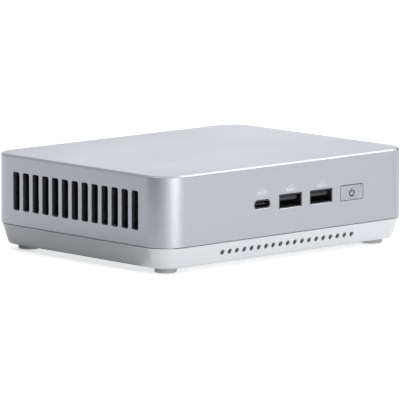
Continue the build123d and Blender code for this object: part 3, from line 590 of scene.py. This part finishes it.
def typeCSocket(name, node, facing):
    boxLow, boxHigh = nodeBox(node)
    x = (boxLow.x + boxHigh.x) / 2
    tall = typeC["height"]
    z = boxHigh.z - tall / 2
    mouthY = boxLow.y if facing < 0 else boxHigh.y
    length = boxHigh.y - boxLow.y
    bm = bmesh.new()
    shape = slotShape(0, 0, boxHigh.x - boxLow.x, tall, tall / 2 - 0.01, 10)
    socketTube(bm, shape, x, z, mouthY, facing, length, typeC["wall"])
    if z - tall / 2 - boxLow.z > 0.3:
        # a block that carries a socket which stands clear of the board
        riser = z - tall / 2 + 0.1 - boxLow.z
        place = (x, mouthY - facing * (length + 4) / 2, boxLow.z + riser / 2)
        softBox(bm, place, (typeC["riserWidth"], length - 4, riser), 0.1)
    makePiece(name + "Tube", bm, [nickelWithPaintedShade], "housing", replaced=[node])
    bm = bmesh.new()
    size = (typeC["tongueWidth"], length - 1.6, typeC["tongueThick"])
    softBox(bm, (x, mouthY - facing * (length + 0.4) / 2, z), size, typeC["tongueEdge"])
    for side in (-1, 1):
        contactRow(bm, x, z + side * 0.36, mouthY, facing, typeC["contacts"])
    makePiece(name + "Tongue", bm, [tongueBlackAndShade, goldContact], "housing")


for number, x in enumerate(portXs, 1):
    frontTypeA(f"frontTypeA{number}", f"front_usb_a_{number}", x)
typeCSocket("frontTypeC", "front_usb_c", -1)
for number in (1, 2):
    typeCSocket(f"rearTypeC{number}", f"rear_usb_c_{number}", 1)
print("sockets made")

# rear sockets: tongues, contacts and windows laid over their metal blocks

rear = {
    "stackLevels": (0.26, 0.74), "stackRecess": 0.9, "stackBack": 3.2,
    "videoTongue": (10.26, 1.26), "videoLift": 0.4, "videoRecess": 0.92, "videoBack": 2.4,
    "videoContacts": ((1, 10), (-1, 9)),     # side of the tongue and how many
    "lanFloor": 1.2, "lanMouth": (11.9, 8.4), "lanDepth": 15.6, "springCount": 8, "springPitch": 1.02,
    "lampSize": (2.3, 0.35, 1.5), "lampLift": 1.5,
    "pinRadius": 1.03, "pinBack": 10.9, "sleeveRadius": 2.87, "sleeveWall": 0.2,
}


def makeStackTongues():
    stackLow, stackHigh = nodeBox("rear_usb_stack")
    x = (stackLow.x + stackHigh.x) / 2
    length = stackHigh.y - stackLow.y - rear["stackBack"]
    for number, level in enumerate(rear["stackLevels"], 1):
        z = stackLow.z + (stackHigh.z - stackLow.z) * level
        typeATongue(f"rearTypeA{number}", x, z, stackHigh.y - rear["stackRecess"], 1, length, 0.05, 0.08)


def makeVideoTongue(number):
    boxLow, boxHigh = nodeBox(f"hdmi_socket_{number}")
    x, z = (boxLow.x + boxHigh.x) / 2, (boxLow.z + boxHigh.z) / 2 + rear["videoLift"]
    wide, thick = rear["videoTongue"]
    length = boxHigh.y - boxLow.y - rear["videoBack"]
    bm = bmesh.new()
    softBox(bm, (x, boxHigh.y - rear["videoRecess"] - length / 2, z), (wide, length, thick), 0.12)
    for side, count in rear["videoContacts"]:
        contactRow(bm, x, z + side * (thick / 2 + 0.02), boxHigh.y, 1, (count, 1.0, 1.3, 5.0, 0.42))
    makePiece(f"rearVideo{number}Tongue", bm, [tongueBlackAndShade, goldContact], "housing")


def makeNetworkInside():
    # the plastic lining, eight spring contacts and two lamp windows
    boxLow, boxHigh = nodeBox("lan_socket")
    x = (boxLow.x + boxHigh.x) / 2
    wide, tall = rear["lanMouth"]
    z = boxLow.z + rear["lanFloor"] + tall / 2
    bm = bmesh.new()
    mouth = slotShape(0, 0, wide - 0.04, tall - 0.04, 0.2, 3)
    socketTube(bm, mouth, x, z, boxHigh.y - 0.05, 1, rear["lanDepth"], 0.3)
    for number in range(rear["springCount"]):
        u = x + (number - (rear["springCount"] - 1) / 2) * rear["springPitch"]
        softBox(bm, (u, boxHigh.y - 6.5, z - tall / 2 + 1.1), (0.38, 8.0, 0.3), 0.05, 1)
    for side in (-1, 1):
        place = (x + side * (wide / 2 - 0.4), boxHigh.y - 0.1, z + tall / 2 + rear["lampLift"])
        softBox(bm, place, rear["lampSize"], 0.08, 2)
    makePiece("networkInside", bm, [blackMoulding, goldContact, lampWindow], "housing")


def makeInletPin():
    boxLow, boxHigh = nodeBox("dc_jack")
    x, z = (boxLow.x + boxHigh.x) / 2, (boxLow.z + boxHigh.z) / 2
    bm = bmesh.new()

    def ring(radius, d):
        return [(x + u, boxHigh.y - d, z + v) for u, v in circlePoints(radius, 28)]

    pin, sleeve, back = rear["pinRadius"], rear["sleeveRadius"], rear["pinBack"]
    bore = sleeve - rear["sleeveWall"]
    loftRings(bm, [ring(pin, back), ring(pin, 0.75), ring(pin - 0.25, 0.45)])
    loftRings(bm, [ring(sleeve, back), ring(sleeve, 1.0), ring(bore, 1.0), ring(bore, back - 0.1)])
    makePiece("powerInletPin", bm, [brightNickel], "housing")


makeStackTongues()
for number in (1, 2):
    makeVideoTongue(number)
makeNetworkInside()
makeInletPin()
print("rear sockets detailed")

# chips and small parts on the boards

boards = {
    # free strips of the board's underside and top: x from, x to, y from, y to
    "stripsUnder": ((10.0, 27.0, -44.0, 5.0), (-34.0, -19.0, 9.0, 44.0), (-14.0, 58.0, 33.5, 44.0),
                    (33.0, 58.0, -6.0, 5.0)),
    "stripsTop": ((-8.0, 6.0, -46.0, 22.0), (54.0, 64.0, -30.0, 20.0)),
    # small parts: width, depth and height, which finish, and how many tries at a free place
    "kinds": (((7.0, 7.0, 1.0), 0, 3), ((5.0, 4.0, 0.9), 0, 6), ((4.2, 4.2, 1.5), 1, 6),
              ((3.0, 1.6, 0.8), 0, 15), ((2.0, 1.25, 0.9), 2, 36), ((1.6, 0.8, 0.5), 0, 42),
              ((1.0, 0.5, 0.4), 2, 66)),
    "gap": 0.5, "longestPart": 3.0, "legPitch": 0.9,
    "pinNodes": ("hdmi_socket_1", "hdmi_socket_2", "lan_socket", "rear_usb_stack", "dc_jack",
                 "front_usb_a_1", "front_usb_a_2"),
    "pinPitch": 2.0, "pinInset": 2.0,
}
boardLow, boardHigh = nodeBox("mainboard")


def overlap(a, b):
    gap = boards["gap"]
    return abs(a[0] - b[0]) < (a[2] + b[2]) / 2 + gap and abs(a[1] - b[1]) < (a[3] + b[3]) / 2 + gap


def addLegs(bm, x, y, z, w, d, tall, facing):
    # tin caps at both ends of a small part, or rows of legs at the sides of a chip
    if max(w, d) <= boards["longestPart"]:
        end = 0.22 * max(w, d)
        for side in (-1, 1):
            offset = side * (max(w, d) / 2 - end / 2)
            u, v = (x + offset, y) if w >= d else (x, y + offset)
            size = (end, d + 0.06, tall + 0.03) if w >= d else (w + 0.06, end, tall + 0.03)
            softBox(bm, (u, v, z + facing * tall / 2), size, 0, 3)
    else:
        legs = int(d / boards["legPitch"])
        for number in range(legs):
            v = y + (number - (legs - 1) / 2) * boards["legPitch"]
            softBox(bm, (x, v, z + facing * 0.12), (w + 0.9, 0.35, 0.18), 0, 3)


def scatterParts(bm, strips, z, facing):
    # chips, coils, capacitors and resistors at free places, none over another; facing is -1 under the board
    placed = []
    for x0, x1, y0, y1 in strips:
        for (wide, deep, tall), matIndex, tries in boards["kinds"]:
            for _ in range(tries):
                w, d = (wide, deep) if random.random() < 0.5 else (deep, wide)
                x = round(random.uniform(x0 + w / 2, x1 - w / 2) * 2) / 2
                y = round(random.uniform(y0 + d / 2, y1 - d / 2) * 2) / 2
                if any(overlap((x, y, w, d), other) for other in placed):
                    continue
                placed.append((x, y, w, d))
                softBox(bm, (x, y, z + facing * tall / 2), (w, d, tall), min(0.1, tall / 6), matIndex)
                addLegs(bm, x, y, z, w, d, tall, facing)


def addPins(bm, node):
    # the soldered pins of a socket above, in a row behind its back
    pinLow, pinHigh = nodeBox(node)
    under = boardLow.z
    pin = ((0.75, under + 0.02), (0.45, under - 0.35), (0.2, under - 0.9))
    across = int((pinHigh.x - pinLow.x - 2) / boards["pinPitch"])
    behind = pinLow.y if pinLow.y > 0 else pinHigh.y
    y = behind + math.copysign(boards["pinInset"], behind)
    for number in range(across + 1):
        x = (pinLow.x + pinHigh.x) / 2 + (number - across / 2) * boards["pinPitch"]
        if abs(x) < boardHigh.x - 6:
            turned(bm, x, y, pin, 8, 3)


def makeBoardParts():
    finishes = [chipBlack, coilGrey, capacitorTan, solderTin]
    bm = bmesh.new()
    scatterParts(bm, boards["stripsUnder"], boardLow.z, -1)
    for node in boards["pinNodes"]:
        addPins(bm, node)
    makePiece("boardPartsUnder", bm, finishes, "housing", 30)
    bm = bmesh.new()
    scatterParts(bm, boards["stripsTop"], boardHigh.z, 1)
    makePiece("boardPartsTop", bm, finishes, "housing", 30)


makeBoardParts()
print("board parts made")

cards = {
    "coat": 0.04,     # how much larger than the card's own plain chips, which they cover
    "memoryXs": (-24.0, -8.0, 8.0, 24.0), "memoryShift": -3.0, "memoryChip": (11.0, 15.0, 3.2),
    "memoryContacts": 34, "keyX": 8.0, "keyHalf": 1.6,
    "driveXs": (-20.0, 0.0, 20.0), "driveChip": (14.0, 17.0, 1.3), "driveContacts": 30, "drivePitch": 0.7,
    "canShift": -2.0, "can": (20.0, 18.0, 1.3), "aerialX": 2.6, "aerialY": 7.0,
    "dies": ((-6.0, 18.0, 14.0), (11.0, 9.0, 12.0)),    # middle along X, width and depth
}


def coated(size):
    return tuple(side + cards["coat"] for side in size)


def makeMemoryChips(number):
    cardLow, cardHigh = nodeBox(f"ram_module_{number}")
    middle = (cardLow + cardHigh) / 2
    bm = bmesh.new()
    for x in cards["memoryXs"]:
        place = (middle.x + x, middle.y + cards["memoryShift"], middle.z)
        softBox(bm, place, coated(cards["memoryChip"]), 0.12)
    # contacts along the edge, with a gap at the key
    count = cards["memoryContacts"]
    for row in range(count):
        x = cardLow.x + 2.0 + row * (cardHigh.x - cardLow.x - 4.0) / (count - 1)
        if abs(x - middle.x - cards["keyX"]) > cards["keyHalf"]:
            softBox(bm, (x, cardHigh.y - 2.6, middle.z), (1.2, 2.0, 1.26), 0, 1)
    makePiece(f"memoryChips{number}", bm, [chipBlack, goldContact], "housing")


def makeDriveChips():
    cardLow, cardHigh = nodeBox("ssd_module")
    middle = (cardLow + cardHigh) / 2
    size = cards["driveChip"]
    bm = bmesh.new()
    for x in cards["driveXs"]:
        softBox(bm, (middle.x + x, middle.y, cardLow.z + size[2] / 2), coated(size), 0.12)
    for number in range(cards["driveContacts"]):
        y = middle.y + (number - (cards["driveContacts"] - 1) / 2) * cards["drivePitch"]
        softBox(bm, (cardHigh.x - 5.6, y, cardLow.z + size[2] + 0.4), (2.4, 0.4, 0.86), 0, 1)
    makePiece("driveChips", bm, [chipBlack, goldContact], "housing")


def makeRadioCan():
    cardLow, cardHigh = nodeBox("radio_card")
    middle = (cardLow + cardHigh) / 2
    size = cards["can"]
    bm = bmesh.new()
    place = (middle.x + cards["canShift"], middle.y, cardLow.z + size[2] / 2)
    softBox(bm, place, coated(size), 0.25)
    # two round aerial sockets at the end of the card, as radius and height over its underside
    socket = ((1.0, 1.32), (1.0, 0.5), (0.75, 0.5), (0.75, 0.9), (0.3, 0.9), (0.3, 0.4))
    profile = [(radius, cardLow.z + lift) for radius, lift in socket]
    for side in (-1, 1):
        turned(bm, cardLow.x + cards["aerialX"], middle.y + side * cards["aerialY"], profile, 20, 1)
    makePiece("radioCan", bm, [brightNickel, goldContact], "housing")


def makeProcessorDies():
    cpuLow, cpuHigh = nodeBox("processor")
    middle = (cpuLow + cpuHigh) / 2
    coat = cards["coat"]
    bm = bmesh.new()
    for x, wide, deep in cards["dies"]:
        softBox(bm, (middle.x + x, middle.y, cpuHigh.z - 0.31), (wide + coat, deep + coat, 0.6), 0.03)
    makePiece("processorDies", bm, [polishedSilicon], "housing")


for number in (1, 2):
    makeMemoryChips(number)
makeDriveChips()
makeRadioCan()
makeProcessorDies()
print("cards detailed")

# pressed ribs on the tray's metal plate

ribs = {
    "plateThick": 0.8, "width": 2.4, "depth": 0.5, "edge": 0.24,
    # middle along X and Y, and length
    "places": ((-52.0, -24.0, 24.0), (0.0, -24.0, 24.0), (50.0, -24.0, 24.0), (-40.0, 20.0, 26.0),
               (-28.0, 20.0, 26.0)),
}


def makeShieldRibs():
    plateLow, _ = nodeBox("base_shield")
    z = plateLow.z + ribs["plateThick"]
    bm = bmesh.new()
    for x, y, length in ribs["places"]:
        softBox(bm, (x, y, z + 0.1), (ribs["width"], length, ribs["depth"]), ribs["edge"])
    makePiece("shieldRibs", bm, [zincSteel], "base")


makeShieldRibs()
print("shield ribs made")

# base tray

tray = {
    "seam": 0.3, "inset": 0.3, "taper": 2.9, "bottomRound": 1.6, "roundSteps": 7, "floor": 2.4, "wall": 2.0,
    "rimTop": 13.4, "rimClear": 0.2, "rimThick": 1.2, "cornerSteps": 24,
    "rimOutCorner": 6.6, "rimInCorner": 5.4, "rimChamfer": 0.15, "rimFoot": 2.4,
    "floorCorner": 7.0, "floorFillet": 0.6,
    "holeCount": 19, "holePitch": 4.2, "holeX": 0.35, "holeZ": 7.1, "holeRadius": 1.05, "holeFlare": 0.22,
    "ventCount": 9, "ventPitch": 5.0, "vent": (2.4, 26.0, 1.19), "ventPlaces": ((-30, -24), (30, -24)),
    "recess": (29.4, 11.4, 1.3), "recessCorner": 1.5, "neck": (13.4, 4.4, 0.4),     # around the release latch
    "insertX": 38.0, "insertRadius": 2.83, "bossRadius": 4.8, "bossHeight": 5.0,
    "footSeat": (4.8, 0.8),     # radius and depth
}
footNodes = ("foot_front_left", "foot_front_right", "foot_rear_left", "foot_rear_right")
trayLow, _ = nodeBox("base_tray")
latchY = sum(v.y for v in nodeBox("release_latch")) / 2
trayTop = shellLow.z - tray["seam"]
trayBottom = trayLow.z
trayHeight = trayTop - trayBottom


def traySurface(z):
    # how far the tapered wall lies inside the housing's outline at a height
    return tray["inset"] + (trayTop - z) / trayHeight * tray["taper"]


def trayFront(u, v, d):
    return (u, shellLow.y + traySurface(v) + d, v)


def trayUnder(u, v, d):
    return (u, v, trayBottom + d)


def trayOutline():
    # inset and height from the seam down the tapered wall and round to the bottom
    slope = math.atan2(tray["taper"], trayHeight)
    radius = tray["bottomRound"]
    middleU = traySurface(trayBottom) + radius * (1 - math.sin(slope)) / math.cos(slope)
    middleZ = trayBottom + radius
    stops = [(tray["inset"] + 0.05, trayTop), (traySurface(trayTop - 0.06), trayTop - 0.06)]
    steps = tray["roundSteps"]
    for step in range(steps + 1):
        angle = slope + (math.pi / 2 - slope) * step / steps
        stops.append((middleU - radius * math.cos(angle), middleZ - radius * math.sin(angle)))
    return stops


def makeTray():
    def ring(inset, z, radius):
        outline = roundedRect(shellWidth - 2 * inset, shellDepth - 2 * inset, radius, tray["cornerSteps"])
        return [(x, y, z) for x, y in outline]

    bm = bmesh.new()
    rimOut = shell["wall"] + tray["rimClear"]
    rimIn = rimOut + tray["rimThick"]
    floorZ = trayBottom + tray["floor"]
    inner = tray["wall"] + traySurface(floorZ)
    rimTop, chamfer, fillet = tray["rimTop"], tray["rimChamfer"], tray["floorFillet"]
    inCorner, outCorner, floorCorner = tray["rimInCorner"], tray["rimOutCorner"], tray["floorCorner"]
    # from the floor up the inside, over the rim that reaches into the housing, and down the outside
    rings = [ring(inner + fillet, floorZ, floorCorner), ring(inner, floorZ + fillet, floorCorner + fillet),
             ring(rimIn, trayTop - tray["rimFoot"], inCorner + 0.4), ring(rimIn, rimTop - chamfer, inCorner),
             ring(rimIn - chamfer, rimTop, inCorner + chamfer),
             ring(rimOut + chamfer, rimTop, outCorner - chamfer),
             ring(rimOut, rimTop - chamfer, outCorner), ring(rimOut, trayTop, outCorner)]
    rings += [ring(inset, z, shell["corner"] - inset) for inset, z in trayOutline()]
    loftRings(bm, rings)
    # bosses for the bracket inserts, standing on the floor
    bossRadius, bossTop = tray["bossRadius"], trayBottom + tray["bossHeight"]
    boss = ((bossRadius + 0.3, floorZ - 0.5), (bossRadius, floorZ + 0.3), (bossRadius, bossTop - 0.2),
            (bossRadius - 0.2, bossTop))
    for side in (-1, 1):
        turned(bm, side * tray["insertX"], 0, boss)
    piece = makePiece("baseTray", bm, [traySatin], "base", replaced=["base_tray"])
    cutters = []
    for number in range(tray["holeCount"]):
        x = tray["holeX"] + (number - (tray["holeCount"] - 1) / 2) * tray["holePitch"]
        shape = roundShape(x, tray["holeZ"], tray["holeRadius"])
        cutters.append(flared(trayFront, shape, tray["holeFlare"], 5))
    for placeX, placeY in tray["ventPlaces"]:
        for number in range(tray["ventCount"]):
            x = placeX + (number - (tray["ventCount"] - 1) / 2) * tray["ventPitch"]
            shape = slotShape(x, placeY, *tray["vent"], 6)
            cutters.append(flared(trayUnder, shape, 0.25, tray["floor"] + 1))
    width, depth, deep = tray["recess"]
    cutters.append(flared(trayUnder, slotShape(0, latchY, width, depth, tray["recessCorner"]), 0.2, deep))
    for x in (-tray["insertX"], tray["insertX"]):
        shape = roundShape(x, 0, tray["insertRadius"], 28)
        cutters.append(flared(trayUnder, shape, 0.2, tray["bossHeight"] + 1))
    seatRadius, seatDepth = tray["footSeat"]
    for node in footNodes:
        footLow, footHigh = nodeBox(node)
        middle = (footLow + footHigh) / 2
        cutters.append(flared(trayUnder, roundShape(middle.x, middle.y, seatRadius, 32), 0.1, seatDepth))
    carve(piece, cutters)
    # the slot of the latch's neck goes on through the floor of its recess
    neck = slotShape(0, latchY, *tray["neck"])(0.0)
    carve(piece, [[[trayUnder(u, v, d) for u, v in neck] for d in (deep - 0.5, tray["floor"] + 1)]])


foot = {"edge": 0.5, "edgeSteps": 5, "groove": 0.35, "grooveRadii": (3.4, 3.1, 2.5, 2.2)}


def makeFoot(node):
    # a moulded rubber foot with a rounded edge and a shallow ring in its sole
    footLow, footHigh = nodeBox(node)
    middle = (footLow + footHigh) / 2
    radius = (footHigh.x - footLow.x) / 2
    edge = foot["edge"]
    profile = [(radius - 0.15, footHigh.z), (radius - 0.02, footHigh.z - 0.9), (radius, footLow.z + 1.2)]
    for step in range(foot["edgeSteps"] + 1):
        angle = math.pi / 2 * step / foot["edgeSteps"]
        profile.append((radius - edge + edge * math.cos(angle), footLow.z + edge - edge * math.sin(angle)))
    depths = (0, foot["groove"], foot["groove"], 0)
    profile += [(grooveRadius, footLow.z + depth) for grooveRadius, depth in zip(foot["grooveRadii"], depths)]
    bm = bmesh.new()
    turned(bm, middle.x, middle.y, profile, 48)
    name = "foot" + "".join(word.capitalize() for word in node.split("_")[1:])
    makePiece(name, bm, [footRubber], "base", 40, [node])


makeTray()
for node in footNodes:
    makeFoot(node)
print("tray and feet made")

# finishes for the pieces that keep their shape

nodeFinishes = {
    "vent_liner_left": ventBlackAndShade, "vent_liner_right": ventBlackAndShade, "mainboard": boardMask,
    "board_standoffs": zincSteel, "board_screws": zincSteel, "power_switch": blackMoulding,
    "rear_panel": blackMoulding, "hdmi_socket_1": brightNickel, "hdmi_socket_2": brightNickel,
    "lan_socket": brightNickel, "rear_usb_stack": brightNickel, "dc_jack": blackMoulding,
    "processor": boardMask, "heat_block": copperMetal, "heat_pipe_1": copperMetal, "heat_pipe_2": copperMetal,
    "fin_stack": bareFins, "fan_housing": blackMoulding, "fan_cover": zincSteel, "fan_stator": copperMetal,
    "fan_rotor": blackMoulding, "ram_socket_1": blackMoulding, "ram_socket_2": blackMoulding,
    "ram_module_1": boardMask, "ram_module_2": boardMask,
    "ssd_socket": blackMoulding, "ssd_module": boardMask,
    "radio_socket": blackMoulding, "radio_card": boardMask, "card_standoffs": turnedBrass,
    "card_screws": zincSteel, "coin_holder": blackMoulding, "coin_cell": zincSteel,
    "bracket_inserts": turnedBrass, "base_shield": zincSteel,
    "drive_spreader": bareFins, "drive_pad": greyPad,
    "release_latch": blackMoulding, "latch_bar": blackMoulding,
}
for node, finish in nodeFinishes.items():
    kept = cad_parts[node]
    if not kept.material_slots:
        kept.data.materials.append(finish)
    for materialSlot in kept.material_slots:
        materialSlot.material = finish
print("node finishes set")

# floor, light and camera

studio = {
    "floorColour": (0.70, 0.70, 0.70), "floorGlow": 0.56, "floorSize": 14.0,
    # a grey mat beside the tray: x from, x to, y from, y to in millimetres
    "mat": (-125.0, -66.0, -36.0, 75.0), "matLift": 0.2, "matColour": (0.64, 0.64, 0.65),
    "skyColour": (0.93, 0.96, 1.0), "skyStrength": 0.88,
    # the even light from the ceiling: strength and how wide it spreads, in degrees
    "ceiling": (0.8, 70.0),
    # name, bearing from the front towards the right and height in degrees, distance, size, brightness
    "softboxes": (("cornerSoftbox", -8.0, 6.0, 1.1, (0.34, 0.5), 15.0),
                  ("frontSoftbox", -10.0, 32.0, 1.4, (0.9, 0.7), 0.4),
                  ("backSoftbox", 120.0, 14.0, 1.4, (1.2, 0.6), 0.95),
                  ("leftBackSoftbox", 168.0, 16.0, 1.5, (0.7, 0.6), 0.3),
                  ("edgeSoftbox", 78.0, 48.0, 1.3, (0.5, 0.5), 5.0)),
    # black cards beside the table: bearing, distance, size and whether they dim matt surfaces too
    "cards": ((-86.0, 0.36, (0.52, 0.36), True), (100.0, 0.60, (0.30, 0.30), False)),
}
view = {"azimuth": -42.51, "elevation": 8.27, "distance": 2.051, "aim": (0.0, 0.0, 0.01974),
        "lens": 426.5, "sensor": 36.0, "shift": -0.00245}


def towards(bearing, height):
    # the direction at a bearing from the front, towards the right, and a height above the floor
    turn, rise = math.radians(bearing), math.radians(height)
    return Vector((math.sin(turn) * math.cos(rise), -math.cos(turn) * math.cos(rise), math.sin(rise)))


def addLamp(name, light, place):
    lamp = bpy.data.objects.new(name, light)
    lamp.location = place
    lamp.rotation_euler = (Vector((0, 0, 0.02)) - place).to_track_quat("-Z", "Y").to_euler()
    lamp.visible_camera = False
    scene.collection.objects.link(lamp)


def clearFromBelow(tree, shader):
    # seen from below the surface is clear, so the underside can be looked at
    geometry = tree.nodes.new("ShaderNodeNewGeometry")
    clear = tree.nodes.new("ShaderNodeBsdfTransparent")
    mix = tree.nodes.new("ShaderNodeMixShader")
    tree.links.new(geometry.outputs["Backfacing"], mix.inputs["Fac"])
    tree.links.new(shader.outputs["BSDF"], mix.inputs[1])
    tree.links.new(clear.outputs["BSDF"], mix.inputs[2])
    tree.links.new(mix.outputs["Shader"], tree.nodes["Material Output"].inputs["Surface"])


def makeFloor():
    bm = bmesh.new()
    bmesh.ops.create_grid(bm, x_segments=8, y_segments=8, size=studio["floorSize"] / 2)
    floor = linkMesh("floor", bm)
    paper, tree, shader = startMaterial("floorPaper", studio["floorColour"], 0.85)
    shader.inputs["Emission Color"].default_value = (1, 1, 1, 1)
    shader.inputs["Emission Strength"].default_value = studio["floorGlow"]
    clearFromBelow(tree, shader)
    floor.data.materials.append(paper)


def makeMat():
    # only the tray's side picks it up: the camera doesn't see it and it stops no light
    x0, x1, y0, y1 = (edge * mm for edge in studio["mat"])
    mesh = bpy.data.meshes.new("sideMat")
    mesh.from_pydata([(x0, y0, 0), (x1, y0, 0), (x1, y1, 0), (x0, y1, 0)], [], [(0, 1, 2, 3)])
    mat = bpy.data.objects.new("sideMat", mesh)
    mat.location.z = studio["matLift"] * mm
    mat.visible_camera = mat.visible_shadow = False
    scene.collection.objects.link(mat)
    grey, tree, shader = startMaterial("matGrey", studio["matColour"], 0.9)
    clearFromBelow(tree, shader)
    mesh.materials.append(grey)


def makeSky():
    world = bpy.data.worlds.new("studioSky")
    world.use_nodes = True
    sky = world.node_tree.nodes["Background"]
    sky.inputs["Color"].default_value = (*studio["skyColour"], 1)
    sky.inputs["Strength"].default_value = studio["skyStrength"]
    scene.world = world


def makeLamps():
    for name, bearing, height, distance, size, brightness in studio["softboxes"]:
        light = bpy.data.lights.new(name, "AREA")
        light.shape = "RECTANGLE"
        light.size, light.size_y = size
        light.energy = brightness * math.pi * size[0] * size[1]
        addLamp(name, light, towards(bearing, height) * distance)
    strength, spreadAngle = studio["ceiling"]
    ceiling = bpy.data.lights.new("ceilingLight", "SUN")
    ceiling.energy = strength
    ceiling.angle = math.radians(spreadAngle)
    addLamp("ceilingLight", ceiling, Vector((0.0, 0.0, 2.0)))


def makeBlackCards():
    black = startMaterial("cardBlack", (0.01, 0.01, 0.01), 0.9)[0]
    for number, (bearing, distance, size, dims) in enumerate(studio["cards"], 1):
        bm = bmesh.new()
        bmesh.ops.create_grid(bm, x_segments=1, y_segments=1, size=0.5)
        bmesh.ops.scale(bm, vec=(*size, 1), verts=bm.verts)
        card = linkMesh(f"card{number}", bm)
        card.location = towards(bearing, 0.0) * distance + Vector((0, 0, size[1] / 2 - 0.02))
        card.rotation_euler = towards(bearing, 0.0).to_track_quat("Z", "Y").to_euler()
        card.visible_camera = card.visible_shadow = False
        card.visible_diffuse = dims
        card.data.materials.append(black)


def makeCamera():
    back = towards(view["azimuth"], view["elevation"])
    camera = bpy.data.objects.new("camera", bpy.data.cameras.new("camera"))
    camera.location = Vector(view["aim"]) + back * view["distance"]
    camera.rotation_euler = back.to_track_quat("Z", "Y").to_euler()
    camera.data.sensor_width = view["sensor"]
    camera.data.lens = view["lens"]
    camera.data.shift_x = view["shift"]
    camera.data.clip_end = 100.0
    scene.collection.objects.link(camera)
    scene.camera = camera


makeFloor()
makeMat()
makeSky()
makeLamps()
makeBlackCards()
makeCamera()
scene.view_settings.view_transform = "Standard"
print("studio ready")
